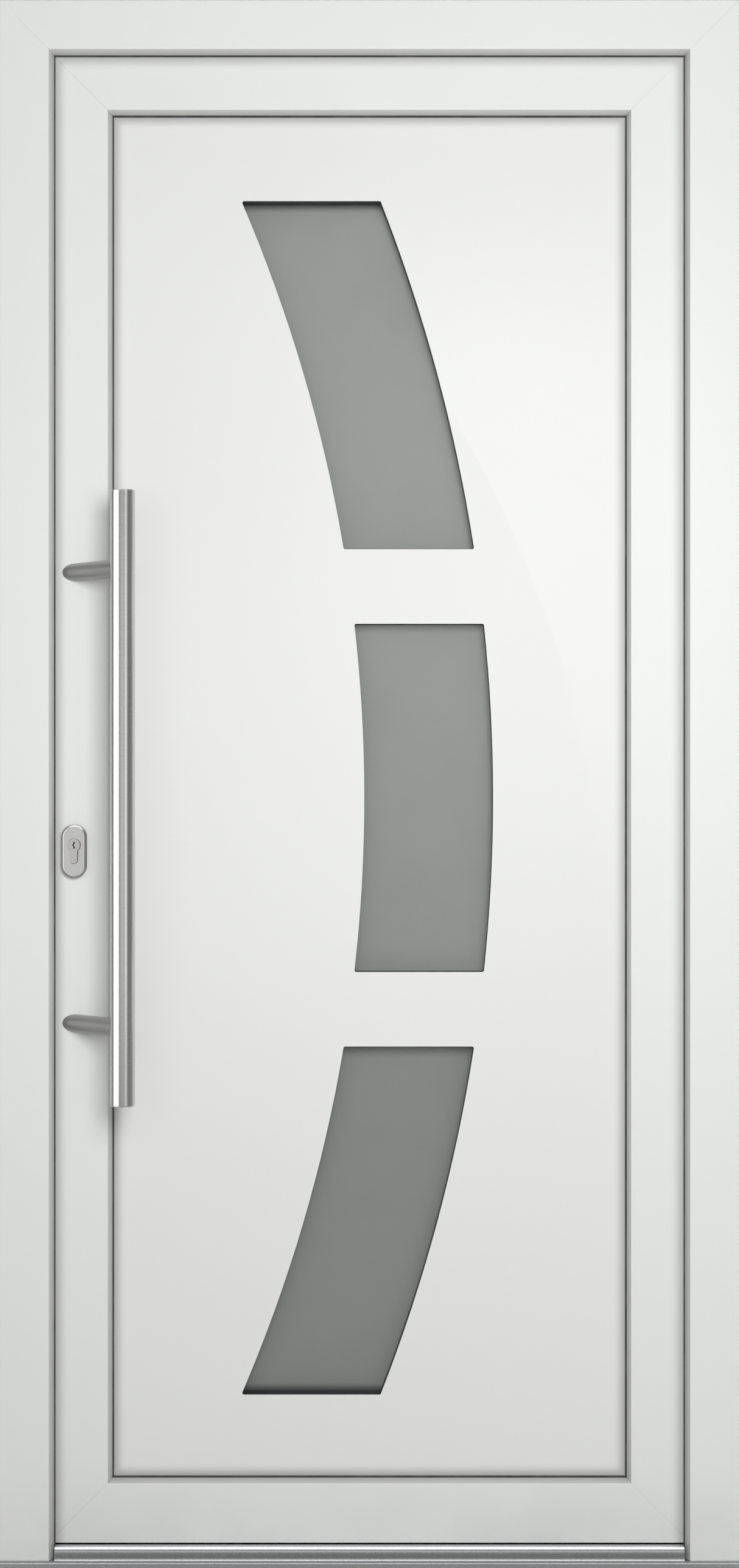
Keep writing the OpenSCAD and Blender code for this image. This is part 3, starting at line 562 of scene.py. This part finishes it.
@dataclass(frozen=True)
class Plain:
    """A matt moulded material with a fine grain."""

    name: str
    colour: Colour
    roughness: float = 0.7
    grain: float = 500.0
    relief: float = 0.05 * MM

    def make(self) -> bpy.types.Material:
        """Returns the material."""
        s = Shader(self.name)
        grain = s.noise(s.position(), self.grain, 3.0)
        dark = tuple(c * 0.8 for c in self.colour)
        return s.surface({"Base Color": s.blend(s.between(grain, 0.35, 0.7, 0.0, 1.0), self.colour, dark),
                          "Roughness": self.roughness + (grain - 0.5) * 0.2,
                          "Normal": s.bump([(grain, self.relief)])})


@dataclass
class Finishes:
    """Every material of the door, made once."""

    upright: bpy.types.Material = field(default_factory=lambda: Upvc("upvc_upright").make())
    level: bpy.types.Material = field(default_factory=lambda: Upvc("upvc_level", Axis.X).make())
    panel: bpy.types.Material = field(default_factory=lambda: PanelSkin().make())
    rubber: bpy.types.Material = field(default_factory=lambda: Rubber().make())
    bristle: bpy.types.Material = field(
        default_factory=lambda: Plain("brush_bristle", (0.03, 0.03, 0.032), 0.8, 2500.0, 0.02 * MM).make())
    clear: bpy.types.Material = field(default_factory=lambda: ClearGlass().make())
    satin: bpy.types.Material = field(default_factory=lambda: SatinGlass().make())
    turned_steel: bpy.types.Material = field(default_factory=lambda: BrushedSteel("steel_turned").make())
    drawn_steel: bpy.types.Material = field(
        default_factory=lambda: BrushedSteel("steel_drawn", Axis.Y, roughness=0.28).make())
    plate_steel: bpy.types.Material = field(
        default_factory=lambda: BrushedSteel("steel_plate", Axis.X, (0.80, 0.80, 0.79), 0.36).make())
    shield_steel: bpy.types.Material = field(
        default_factory=lambda: BrushedSteel("steel_shield", Axis.X, (0.80, 0.80, 0.79), 0.36,
                                             rim_shade_tone=0.3).make())
    matt_steel: bpy.types.Material = field(
        default_factory=lambda: BrushedSteel("steel_matt", Axis.Z, (0.36, 0.36, 0.355), 0.44).make())
    nickel: bpy.types.Material = field(default_factory=lambda: Nickel().make())
    aluminium: bpy.types.Material = field(default_factory=lambda: Aluminium().make())
    foam: bpy.types.Material = field(
        default_factory=lambda: Plain("panel_foam", (0.62, 0.57, 0.46), 0.9, 260.0, 0.2 * MM).make())
    polyamide: bpy.types.Material = field(
        default_factory=lambda: Plain("polyamide_break", (0.035, 0.035, 0.037), 0.55, 700.0, 0.03 * MM).make())
    spacer: bpy.types.Material = field(
        default_factory=lambda: Plain("spacer_bar", (0.016, 0.019, 0.024), 0.5, 900.0, 0.02 * MM).make())


# Shapes


@dataclass(frozen=True)
class Easing:
    """How far the sharp edges of a piece are rounded, and how little those of a welded mitre."""

    radius: float
    steps: int = 3
    sharp: float = math.radians(30)
    flat: float = math.radians(0.2)
    mitre: float = 0.55 * MM
    mitre_area: float = 1e-4


def add_piece(name: str, mesh: bpy.types.Mesh, body: Body,
              material: bpy.types.Material) -> bpy.types.Object:
    """Puts a mesh into the scene as a piece of the door.

    Args:
        name: the piece's name.
        mesh: its mesh, in place.
        body: the body that it rides on.
        material: its material.

    Returns:
        The new object.
    """
    piece = bpy.data.objects.new(name, mesh)
    bpy.context.scene.collection.objects.link(piece)
    mesh.materials.clear()
    mesh.materials.append(material)
    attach(piece, body.value)
    LOG.info("%s: %d faces, rides on %s", name, len(mesh.polygons), body.value)
    return piece


def close_mesh(name: str, shape: bmesh.types.BMesh, smooth_below: float = math.radians(35)) -> bpy.types.Mesh:
    """Turns an edited shape into a mesh with outward faces and smooth roundings.

    Args:
        name: the mesh's name.
        shape: the shape, which is used up.
        smooth_below: edges that bend less than this are shaded smooth.

    Returns:
        The mesh.
    """
    bmesh.ops.recalc_face_normals(shape, faces=shape.faces)
    mesh = bpy.data.meshes.new(name)
    shape.to_mesh(mesh)
    shape.free()
    mesh.shade_smooth()
    mesh.set_sharp_from_angle(angle=smooth_below)
    return mesh


def weigh_normals(piece: bpy.types.Object) -> None:
    """Keeps large faces flat beside their smooth roundings.

    Args:
        piece: the object that gets the modifier.
    """
    weigh = piece.modifiers.new("weighted", "WEIGHTED_NORMAL")
    weigh.keep_sharp = True
    weigh.weight = 80


def is_mitre(face: bmesh.types.BMFace, least_area: float) -> bool:
    """Tells whether a face is the cut of a mitre between an upright and a level profile.

    Args:
        face: the face.
        least_area: smallest area of such a cut, in square metres.

    Returns:
        Whether it is one.
    """
    n = face.normal
    return abs(n.y) < 0.01 and abs(abs(n.x) - abs(n.z)) < 0.01 and face.calc_area() > least_area


def eased_copy(node: str, easing: Easing) -> bmesh.types.BMesh:
    """Rounds the sharp edges of a copy of a node's shape.

    Args:
        node: the node whose shape is copied.
        easing: how the edges are rounded.

    Returns:
        The rounded shape.
    """
    shape = bmesh.new()
    shape.from_mesh(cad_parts[node].data)
    bmesh.ops.remove_doubles(shape, verts=shape.verts, dist=0.001 * MM)
    bmesh.ops.dissolve_limit(shape, angle_limit=easing.flat, verts=shape.verts, edges=shape.edges)
    cuts = {face for face in shape.faces if is_mitre(face, easing.mitre_area)}
    seams = [e for e in shape.edges if len(e.link_faces) == 2 and not cuts.isdisjoint(e.link_faces)]
    if seams:
        made = bmesh.ops.bevel(shape, geom=seams, offset=easing.mitre, offset_type="OFFSET", segments=1,
                               profile=0.5, affect="EDGES", clamp_overlap=True)
        cuts = set(made["faces"]) | {face for face in shape.faces if is_mitre(face, easing.mitre_area)}
    sharp = [e for e in shape.edges if len(e.link_faces) == 2 and e.calc_face_angle(0.0) > easing.sharp
             and cuts.isdisjoint(e.link_faces)]
    bmesh.ops.bevel(shape, geom=sharp, offset=easing.radius, offset_type="OFFSET", segments=easing.steps,
                    profile=0.5, affect="EDGES", clamp_overlap=True)
    return shape


def eased_piece(node: str, name: str, body: Body, material: bpy.types.Material,
                easing: Easing) -> bpy.types.Object:
    """Stands a rounded piece in for a node.

    Args:
        node: the node that the piece replaces.
        name: the piece's name.
        body: the body that it rides on.
        material: its material.
        easing: how its edges are rounded.

    Returns:
        The new object.
    """
    piece = add_piece(name, close_mesh(name, eased_copy(node, easing)), body, material)
    weigh_normals(piece)
    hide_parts(node)
    return piece


def frame_of(axis: Vector) -> tuple[Vector, Vector]:
    """Finds two directions square to an axis and to each other.

    Args:
        axis: a unit vector.

    Returns:
        The two directions, which with the axis are right-handed.
    """
    side = Vector((0.0, 0.0, 1.0)) if abs(axis.z) < 0.9 else Vector((1.0, 0.0, 0.0))
    first = side.cross(axis).normalized()
    return first, axis.cross(first)


def add_rings(shape: bmesh.types.BMesh, rings: Sequence[Sequence[Vector]]) -> None:
    """Skins a row of closed rings and caps both ends.

    Args:
        shape: the shape that the skin is added to.
        rings: rings with the same number of points each.
    """
    rows = [[shape.verts.new(p) for p in ring] for ring in rings]
    count = len(rows[0])
    for low, high in zip(rows, rows[1:]):
        for i in range(count):
            j = (i + 1) % count
            shape.faces.new((low[i], low[j], high[j], high[i]))
    shape.faces.new(rows[0])
    shape.faces.new(rows[-1])


def add_lathe(shape: bmesh.types.BMesh, base: Vector, axis: Vector, outline: Sequence[tuple[float, float]],
              steps: int, wobble: Callable[[int, float], float] | None = None) -> None:
    """Turns an outline round an axis.

    Args:
        shape: the shape that the turned solid is added to.
        base: the point that the outline starts from.
        axis: unit vector of the axis.
        outline: radius and distance along the axis of each ring, from end to end.
        steps: number of points in a ring.
        wobble: gives a factor for the radius from the ring's number and the angle.
    """
    first, second = frame_of(axis)
    rings = []
    for number, (radius, along) in enumerate(outline):
        ring = []
        for i in range(steps):
            angle = TURN * i / steps
            reach = radius * (wobble(number, angle) if wobble else 1.0)
            ring.append(base + axis * along + (first * math.cos(angle) + second * math.sin(angle)) * reach)
        rings.append(ring)
    add_rings(shape, rings)


@dataclass(frozen=True)
class ScrewHead:
    """A countersunk head with a six-lobed recess."""

    radius: float = 4.0 * MM
    rise: float = 0.35 * MM
    recess_radius: float = 1.9 * MM
    recess_depth: float = 1.6 * MM
    seat: float = 0.6 * MM
    steps: int = 36
    lobes: int = 6
    lobe_depth: float = 0.16

    def add(self, shape: bmesh.types.BMesh, at: Point, facing: Point) -> None:
        """Adds the head to a shape.

        Args:
            shape: the shape that it joins.
            at: middle of the head, on the surface that it is driven into.
            facing: unit vector out of that surface.
        """
        recess_rings = (5, 6)
        outline = [(self.radius * 0.8, -self.seat), (self.radius, -0.1 * MM), (self.radius, self.rise * 0.4),
                   (self.radius * 0.93, self.rise * 0.85), (self.radius * 0.8, self.rise),
                   (self.recess_radius, self.rise), (self.recess_radius * 0.92, self.rise - self.recess_depth)]

        def lobed(ring: int, angle: float) -> float:
            """Gives the recess its lobes."""
            return 1.0 + self.lobe_depth * math.cos(self.lobes * angle) if ring in recess_rings else 1.0

        add_lathe(shape, Vector(at), Vector(facing), outline, self.steps, lobed)


def add_screws(name: str, places: Sequence[Point], facing: Point, head: ScrewHead, body: Body,
               material: bpy.types.Material) -> bpy.types.Object:
    """Adds a group of screws as one piece.

    Args:
        name: the piece's name.
        places: where the heads are.
        facing: unit vector out of the surface.
        head: the screw.
        body: the body that they ride on.
        material: their material.

    Returns:
        The new object.
    """
    shape = bmesh.new()
    for place in places:
        head.add(shape, place, facing)
    return add_piece(name, close_mesh(name, shape), body, material)


# Sub-assemblies


@dataclass
class OuterFrame:
    """The mitred outer frame, its gasket and the caps over its screws."""

    finishes: Finishes
    edge: Easing = Easing(0.9 * MM)
    gasket_edge: Easing = Easing(0.35 * MM, 2)
    cap_radius: float = 7.0 * MM
    cap_rise: float = 1.3 * MM
    fixing_heights: tuple[float, ...] = (0.200, 0.76667, 1.33333, 1.900)
    rebate_x: float = 0.444
    fixing_y: float = 0.035

    def build(self) -> None:
        """Builds the frame."""
        f = self.finishes
        eased_piece("frame_lock_jamb", "lock_jamb", Body.FRAME, f.upright, self.edge)
        eased_piece("frame_hinge_jamb", "hinge_jamb", Body.FRAME, f.upright, self.edge)
        eased_piece("frame_head", "head", Body.FRAME, f.level, self.edge)
        eased_piece("frame_gasket", "frame_seal", Body.FRAME, f.rubber, self.gasket_edge)
        self._caps()

    def _caps(self) -> None:
        """Closes the screw holes in the rebate with domed caps."""
        shape = bmesh.new()
        outline = [(self.cap_radius * 0.9, -0.4 * MM), (self.cap_radius, 0.0), (self.cap_radius, 0.35 * MM),
                   (self.cap_radius * 0.88, self.cap_rise * 0.8), (self.cap_radius * 0.6, self.cap_rise),
                   (self.cap_radius * 0.1, self.cap_rise * 1.05)]
        for side in (-1, 1):
            for z in self.fixing_heights:
                add_lathe(shape, Vector((side * self.rebate_x, self.fixing_y, z)), Vector((-side, 0.0, 0.0)),
                          outline, 32)
        add_piece("frame_screw_caps", close_mesh("frame_screw_caps", shape), Body.FRAME,
                  self.finishes.upright)


@dataclass
class Threshold:
    """Sill rail and the three sections of the threshold."""

    finishes: Finishes
    edge: Easing = Easing(0.4 * MM, 2)

    def build(self) -> None:
        """Builds the threshold."""
        f = self.finishes
        for node, name, slot, material in (
            ("sill_rail", "sill", Slot.ALUMINIUM, f.aluminium),
            ("threshold_outer", "threshold_nose", Slot.ALUMINIUM, f.aluminium),
            ("threshold_break", "threshold_thermal_break", Slot.BREAK, f.polyamide),
            ("threshold_inner", "threshold_tread", Slot.ALUMINIUM, f.aluminium),
        ):
            eased_piece(node, name, Body.FRAME, material, self.edge)


@dataclass
class LeafFrame:
    """Stiles, rails, beads and seals of the leaf."""

    finishes: Finishes
    edge: Easing = Easing(0.9 * MM)
    bead_edge: Easing = Easing(0.7 * MM)
    seal_edge: Easing = Easing(0.35 * MM, 2)
    gasket_edge: Easing = Easing(0.7 * MM)
    bristle_pitch: float = 1.6 * MM

    def build(self) -> None:
        """Builds the leaf's frame."""
        f = self.finishes
        for node, name, material in (
            ("leaf_lock_stile", "lock_stile", f.upright), ("leaf_hinge_stile", "hinge_stile", f.upright),
            ("leaf_top_rail", "top_rail", f.level), ("leaf_bottom_rail", "bottom_rail", f.level),
        ):
            eased_piece(node, name, Body.LEAF, material, self.edge)
        for node, name, material in (
            ("bead_lock_side", "glazing_bead_lock_side", f.upright),
            ("bead_hinge_side", "glazing_bead_hinge_side", f.upright),
            ("bead_top", "glazing_bead_top", f.level), ("bead_bottom", "glazing_bead_bottom", f.level),
        ):
            eased_piece(node, name, Body.LEAF, material, self.bead_edge)
        eased_piece("leaf_gasket", "leaf_seal", Body.LEAF, f.rubber, self.seal_edge)
        for node, name in (("panel_outer_gasket", "panel_outer_seal"), ("panel_inner_gasket", "panel_inner_seal")):
            eased_piece(node, name, Body.LEAF, f.rubber, self.gasket_edge)
        self._brush()

    def _brush(self) -> None:
        """Makes the brush as a thin carrier with a row of slanting tufts."""
        low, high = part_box("leaf_bottom_brush")
        shape = bmesh.new()
        carrier = 1.6 * MM
        mid_y = (low.y + high.y) / 2
        half_y = (high.y - low.y) / 2
        ends = (Vector((low.x, 0, 0)), Vector((high.x, 0, 0)))
        add_rings(shape, [[end + Vector((0, mid_y + y, z)) for y, z in (
            (-half_y, high.z), (-half_y, high.z - carrier), (half_y, high.z - carrier), (half_y, high.z))]
            for end in ends])
        count = int((high.x - low.x) / self.bristle_pitch)
        for i in range(count):
            x = low.x + (i + 0.5) * self.bristle_pitch
            lean = math.sin(i * 2.4) * 0.3 * MM
            top = [Vector((x + dx, mid_y + dy, high.z - carrier)) for dx, dy in self._tuft(0.75 * MM, half_y * 0.7)]
            foot = [Vector((x + dx + lean, mid_y + dy, low.z)) for dx, dy in self._tuft(0.45 * MM, half_y * 0.9)]
            add_rings(shape, [top, foot])
        piece = add_piece("leaf_brush", close_mesh("leaf_brush", shape), Body.LEAF,
                          self.finishes.bristle)
        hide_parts("leaf_bottom_brush")

    @staticmethod
    def _tuft(half_x: float, half_y: float) -> list[tuple[float, float]]:
        """Returns the six corners of a tuft's section.

        Args:
            half_x: half its width along the leaf.
            half_y: half its depth.
        """
        return [(half_x * math.cos(TURN * k / 6), half_y * math.sin(TURN * k / 6)) for k in range(6)]


@dataclass
class Panel:
    """The panel with its three lights."""

    finishes: Finishes
    edge: Easing = Easing(0.8 * MM)

    def build(self) -> None:
        """Builds the panel and dresses what is let into it."""
        f = self.finishes
        eased_piece("panel_outer_skin", "panel_front", Body.LEAF, f.panel, self.edge)
        eased_piece("panel_inner_skin", "panel_back", Body.LEAF, f.panel, self.edge)
        for node, material in (("panel_core", f.foam), ("outer_panes", f.clear), ("inner_panes", f.satin),
                               ("pane_spacers", f.spacer)):
            dress(node, material)


def dress(node: str, material: bpy.types.Material) -> None:
    """Gives a node that keeps its shape its material.

    Args:
        node: the node's name.
        material: the material.
    """
    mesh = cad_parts[node].data
    mesh.materials.clear()
    mesh.materials.append(material)
    LOG.info("%s keeps its shape", node)


@dataclass
class PullHandle:
    """Round bar with its caps and two slanting posts."""

    finishes: Finishes
    steps: int = 96
    end_round: float = 0.3 * MM
    end_trim: float = 1.9 * MM
    cap_round: float = 0.5 * MM
    post_round: float = 0.4 * MM

    def build(self) -> None:
        """Builds the handle."""
        self._bar()
        self._caps()
        self._post("pull_post_upper", "upper_post")
        self._post("pull_post_lower", "lower_post")

    def _bar(self) -> None:
        """Turns the bar with eased ends."""
        low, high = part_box("pull_bar")
        r, length, e = (high.x - low.x) / 2, high.z - low.z - 2 * self.end_trim, self.end_round
        base = Vector(((low.x + high.x) / 2, (low.y + high.y) / 2, low.z + self.end_trim))
        corner = [(e * (1 - math.cos(a)), e * (1 - math.sin(a))) for a in (0.0, TURN / 16, TURN / 8, TURN * 3 / 16)]
        foot = [(r - e, 0.0)] + [(r - back, up) for back, up in reversed(corner)]
        outline = [*foot, *[(radius, length - up) for radius, up in reversed(foot)]]
        shape = bmesh.new()
        add_lathe(shape, base, Vector(Axis.Z.value), outline, self.steps)
        piece = add_piece("bar", close_mesh("bar", shape), Body.LEAF, self.finishes.turned_steel)
        weigh_normals(piece)
        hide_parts("pull_bar")

    def _caps(self) -> None:
        """Turns the two caps that close the bar."""
        low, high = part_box("pull_bar_caps")
        bar_low, bar_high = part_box("pull_bar")
        r, e = (high.x - low.x) / 2, self.cap_round
        middle = Vector(((low.x + high.x) / 2, (low.y + high.y) / 2, 0.0))
        shape = bmesh.new()
        for start, way, thick in ((bar_low.z + self.end_trim, -1.0, bar_low.z - low.z),
                                  (bar_high.z - self.end_trim, 1.0, high.z - bar_high.z)):
            outline = [(r, 0.0), (r, thick - e), (r - e * 0.3, thick - e * 0.3), (r - e, thick)]
            add_lathe(shape, middle + Vector((0, 0, start)), Vector((0, 0, way)), outline, self.steps)
        piece = add_piece("bar_caps", close_mesh("bar_caps", shape), Body.LEAF,
                          self.finishes.turned_steel)
        weigh_normals(piece)
        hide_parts("pull_bar_caps")

    def _post(self, node: str, name: str) -> None:
        """Makes a post from the leaf's face to the curve of the bar.

        Args:
            node: the node that the post replaces.
            name: the piece's name.
        """
        low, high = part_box(node)
        bar_low, bar_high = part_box("pull_bar")
        radius, bar_radius = (high.z - low.z) / 2, (bar_high.x - bar_low.x) / 2
        bar = Vector(((bar_low.x + bar_high.x) / 2, (bar_low.y + bar_high.y) / 2))
        standoff = high.y - bar.y
        foot = Vector((bar.x - standoff, high.y, (low.z + high.z) / 2))
        along = Vector((1, -1, 0)).normalized()
        across = Vector((1, 1, 0)).normalized()
        reach = standoff * math.sqrt(2)
        shape = bmesh.new()
        rings = []
        for share, shrink in ((0.0, self.post_round), (0.02, 0.0), (0.98, 0.0), (1.0, 0.0)):
            ring = []
            for i in range(self.steps):
                angle = TURN * i / self.steps
                off = radius * math.cos(angle)
                start, end = off, reach - math.sqrt(bar_radius ** 2 - off ** 2)
                point = foot + along * (start + (end - start) * share)
                scale = (radius - shrink) / radius
                ring.append(point + (across * off + Vector((0, 0, radius * math.sin(angle)))) * scale)
            rings.append(ring)
        add_rings(shape, rings)
        piece = add_piece(name, close_mesh(name, shape), Body.LEAF, self.finishes.matt_steel)
        weigh_normals(piece)
        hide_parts(node)


@dataclass
class LockSet:
    """Escutcheons, cylinder, plugs, lever and rose."""

    finishes: Finishes
    plate_edge: Easing = Easing(0.5 * MM, 3, math.radians(20))
    cylinder_edge: Easing = Easing(0.25 * MM, 2)
    plug_edge: Easing = Easing(0.12 * MM, 2, math.radians(60))
    lever_edge: Easing = Easing(0.8 * MM, 3, math.radians(60))

    def build(self) -> None:
        """Builds the lock's visible pieces."""
        f = self.finishes
        for node, name in (("escutcheon_outer", "outer_escutcheon"), ("escutcheon_inner", "inner_escutcheon"),
                           ("lever_rose", "rose")):
            eased_piece(node, name, Body.LEAF, f.shield_steel, self.plate_edge)
        eased_piece("cylinder_body", "profile_cylinder", Body.LEAF, f.nickel, self.cylinder_edge)
        eased_piece("cylinder_plug", "key_plug", Body.PLUG, f.nickel, self.plug_edge)
        eased_piece("cylinder_plug_inner", "inner_key_plug", Body.LEAF, f.nickel, self.plug_edge)
        eased_piece("lever", "inside_lever", Body.LEAF, f.drawn_steel, self.lever_edge)


@dataclass
class EdgeLock:
    """Faceplate and bolts in the leaf's edge, and the strike plates opposite."""

    finishes: Finishes
    plate_edge: Easing = Easing(0.25 * MM, 2)
    bolt_edge: Easing = Easing(0.6 * MM, 2)
    screw_inset: float = 11.0 * MM
    faceplate_screws: int = 8
    head: ScrewHead = ScrewHead(radius=3.6 * MM, rise=0.2 * MM, recess_radius=1.6 * MM)

    def build(self) -> None:
        """Builds the lock in the edge and its strikes."""
        f = self.finishes
        eased_piece("lock_faceplate", "faceplate", Body.LEAF, f.plate_steel, self.plate_edge)
        eased_piece("lock_bolts", "bolts", Body.LEAF, f.nickel, self.bolt_edge)
        low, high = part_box("lock_faceplate")
        mid_y, span = (low.y + high.y) / 2, high.z - low.z - 2 * self.screw_inset
        heights = [low.z + self.screw_inset + span * i / (self.faceplate_screws - 1)
                   for i in range(self.faceplate_screws)]
        add_screws("faceplate_screws", [(low.x, mid_y, z) for z in heights], (-1, 0, 0), self.head, Body.LEAF,
                   f.turned_steel)
        for place in ("upper", "middle", "lower"):
            node = f"strike_plate_{place}"
            eased_piece(node, f"{place}_strike", Body.FRAME, f.plate_steel, self.plate_edge)
            low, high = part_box(node)
            mid_y = (low.y + high.y) / 2
            add_screws(f"{place}_strike_screws",
                       [(high.x, mid_y, z) for z in (low.z + self.screw_inset, high.z - self.screw_inset)],
                       (1, 0, 0), self.head, Body.FRAME, f.turned_steel)


@dataclass
class Hinges:
    """The three hinges, each a part on the frame and a part on the leaf."""

    finishes: Finishes
    edge: Easing = Easing(0.6 * MM, 3, math.radians(50))
    screw_end: float = 12.0 * MM
    frame_screw_in: float = 7.5 * MM
    leaf_screw_in: float = 11.0 * MM
    head: ScrewHead = ScrewHead(radius=4.2 * MM)

    def build(self) -> None:
        """Builds the hinges."""
        f = self.finishes
        frame_room_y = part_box("frame_hinge_jamb")[1].y
        leaf_room_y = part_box("leaf_hinge_stile")[1].y
        for place in ("upper", "middle", "lower"):
            for part, body in (("frame", Body.FRAME), ("leaf", Body.LEAF)):
                node = f"hinge_{place}_{part}_part"
                eased_piece(node, f"{place}_hinge_on_{part}", body, f.upright, self.edge)
                low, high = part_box(node)
                plate_t = 6.0 * MM
                if part == "frame":
                    spots = [(high.x - self.frame_screw_in, frame_room_y + plate_t, z)
                             for z in (low.z + self.screw_end, high.z - self.screw_end)]
                else:
                    spots = [(low.x + dx, leaf_room_y + plate_t, z) for dx in (self.leaf_screw_in, 33.0 * MM)
                             for z in (low.z + self.screw_end, high.z - self.screw_end)]
                add_screws(f"{place}_hinge_{part}_screws", spots, (0, 1, 0), self.head, body, f.turned_steel)


# Studio


class Seen(Enum):
    """What a lamp does: whether it lights surfaces and whether gloss mirrors it."""

    BOTH = (True, True)
    LIGHTS = (True, False)
    MIRRORED = (False, True)


@dataclass(frozen=True)
class Softbox:
    """A rectangular lamp."""

    name: str
    at: Point
    aim: Point
    width: float
    height: float
    watts: float
    seen: Seen = Seen.BOTH

    def place(self) -> None:
        """Adds the lamp to the scene."""
        data = bpy.data.lights.new(self.name, "AREA")
        data.shape = "RECTANGLE"
        data.size, data.size_y = self.width, self.height
        data.energy = self.watts
        lamp = bpy.data.objects.new(self.name, data)
        lamp.location = self.at
        lamp.rotation_mode = "QUATERNION"
        lamp.rotation_quaternion = (Vector(self.aim) - Vector(self.at)).to_track_quat("-Z", "Y")
        lamp.visible_camera = False
        lamp.visible_diffuse, lamp.visible_glossy = self.seen.value
        bpy.context.scene.collection.objects.link(lamp)


@dataclass
class Studio:
    """Floor, lamps, surroundings and camera."""

    camera_distance: float = 3.4
    camera_height: float = 1.05
    sensor: float = 36.0
    frame_height: float = 2.1
    floor_half: float = 30.0
    floor_fade: tuple[float, float] = (2.5, 7.0)
    floor_colour: Colour = (0.62, 0.62, 0.61)
    surroundings: float = 0.24
    softboxes: tuple[Softbox, ...] = (
        Softbox("key", (0.31, -2.1, 1.60), (0.14, 0.0, 1.18), 0.8, 1.1, 26.5, Seen.LIGHTS),
        Softbox("wide", (0.20, -2.2, 1.50), (0.1, 0.0, 1.15), 4.0, 1.5, 13.5, Seen.LIGHTS),
        Softbox("left_mirrored", (-2.2, -1.3, 1.03), (-0.3, 0.0, 1.03), 2.2, 1.8, 26.0, Seen.MIRRORED),
        Softbox("middle_mirrored", (-0.2, -4.6, 1.1), (-0.2, 0.0, 1.1), 2.6, 2.0, 9.0, Seen.MIRRORED),
        Softbox("right_mirrored", (1.9, -3.2, 1.1), (-0.3, 0.0, 1.1), 1.6, 2.0, 10.0, Seen.MIRRORED),
        Softbox("high_mirrored", (0.0, -1.0, 3.0), (0.0, -0.9, 0.0), 3.2, 2.4, 60.0, Seen.MIRRORED),
        Softbox("room_side", (0.8, 3.4, 2.4), (0.0, 0.0, 1.0), 2.4, 2.4, 60.0),
        Softbox("left_side", (-3.0, 1.3, 1.5), (-0.5, 0.1, 1.0), 1.6, 2.0, 26.0, Seen.LIGHTS),
        Softbox("right_side", (3.0, 1.3, 1.5), (0.5, 0.1, 1.0), 1.6, 2.0, 22.0, Seen.LIGHTS),
        Softbox("top_side", (0.0, 0.95, 3.3), (0.0, 0.7, 0.0), 2.0, 1.2, 12.0, Seen.LIGHTS),
    )

    def build(self) -> None:
        """Sets the studio up."""
        self._camera()
        self._floor()
        self._world()
        for softbox in self.softboxes:
            softbox.place()
        bpy.context.scene.view_settings.view_transform = "Standard"

    def _camera(self) -> None:
        """Adds the camera at the distance and height of the photograph."""
        data = bpy.data.cameras.new("camera")
        data.sensor_width = self.sensor
        data.lens = self.sensor * self.camera_distance / self.frame_height
        camera = bpy.data.objects.new("camera", data)
        camera.location = (0.0, -self.camera_distance, self.camera_height)
        camera.rotation_mode = "QUATERNION"
        camera.rotation_quaternion = Vector(Axis.Y.value).to_track_quat("-Z", "Y")
        bpy.context.scene.collection.objects.link(camera)
        bpy.context.scene.camera = camera

    def _floor(self) -> None:
        """Adds a plain pale floor that runs into the surroundings away from the door."""
        h = self.floor_half
        shape = bmesh.new()
        shape.faces.new([shape.verts.new((x, y, 0.0)) for x, y in ((-h, -h), (h, -h), (h, h), (-h, h))])
        mesh = bpy.data.meshes.new("floor")
        shape.to_mesh(mesh)
        shape.free()
        s = Shader("floor_pale")
        grain = s.noise(s.position(), 60.0, 3.0)
        pale = s.node("ShaderNodeBsdfPrincipled", {}, {"Base Color": (*self.floor_colour, 1.0),
                                                       "Roughness": 0.75 + grain * 0.1})
        far = s.node("ShaderNodeEmission", {}, {"Strength": self.surroundings})
        distance = s.node("ShaderNodeVectorMath", {"operation": "LENGTH"}, {0: s.position()}, output=1)
        fade = s.between(distance, *self.floor_fade, 0.0, 1.0)
        floor_shader = s.node("ShaderNodeMixShader", {}, {0: fade, 1: pale, 2: far})
        s.node("ShaderNodeOutputMaterial", {}, {"Surface": floor_shader})
        mesh.materials.append(s.material)
        floor = bpy.data.objects.new("floor", mesh)
        bpy.context.scene.collection.objects.link(floor)

    def _world(self) -> None:
        """Lights the scene evenly from every side."""
        world = bpy.data.worlds.new("surroundings")
        world.use_nodes = True
        background = world.node_tree.nodes["Background"]
        background.inputs["Color"].default_value = (1.0, 1.0, 1.0, 1.0)
        background.inputs["Strength"].default_value = self.surroundings
        bpy.context.scene.world = world


def main() -> None:
    """Builds the studio and every sub-assembly."""
    logging.basicConfig(level=logging.INFO, format="%(name)s: %(message)s")
    finishes = Finishes()
    for part in (Studio(), OuterFrame(finishes), Threshold(finishes), LeafFrame(finishes), Panel(finishes),
                 PullHandle(finishes), LockSet(finishes), EdgeLock(finishes), Hinges(finishes)):
        LOG.info("building %s", type(part).__name__)
        part.build()


if __name__ == "__main__":
    main()
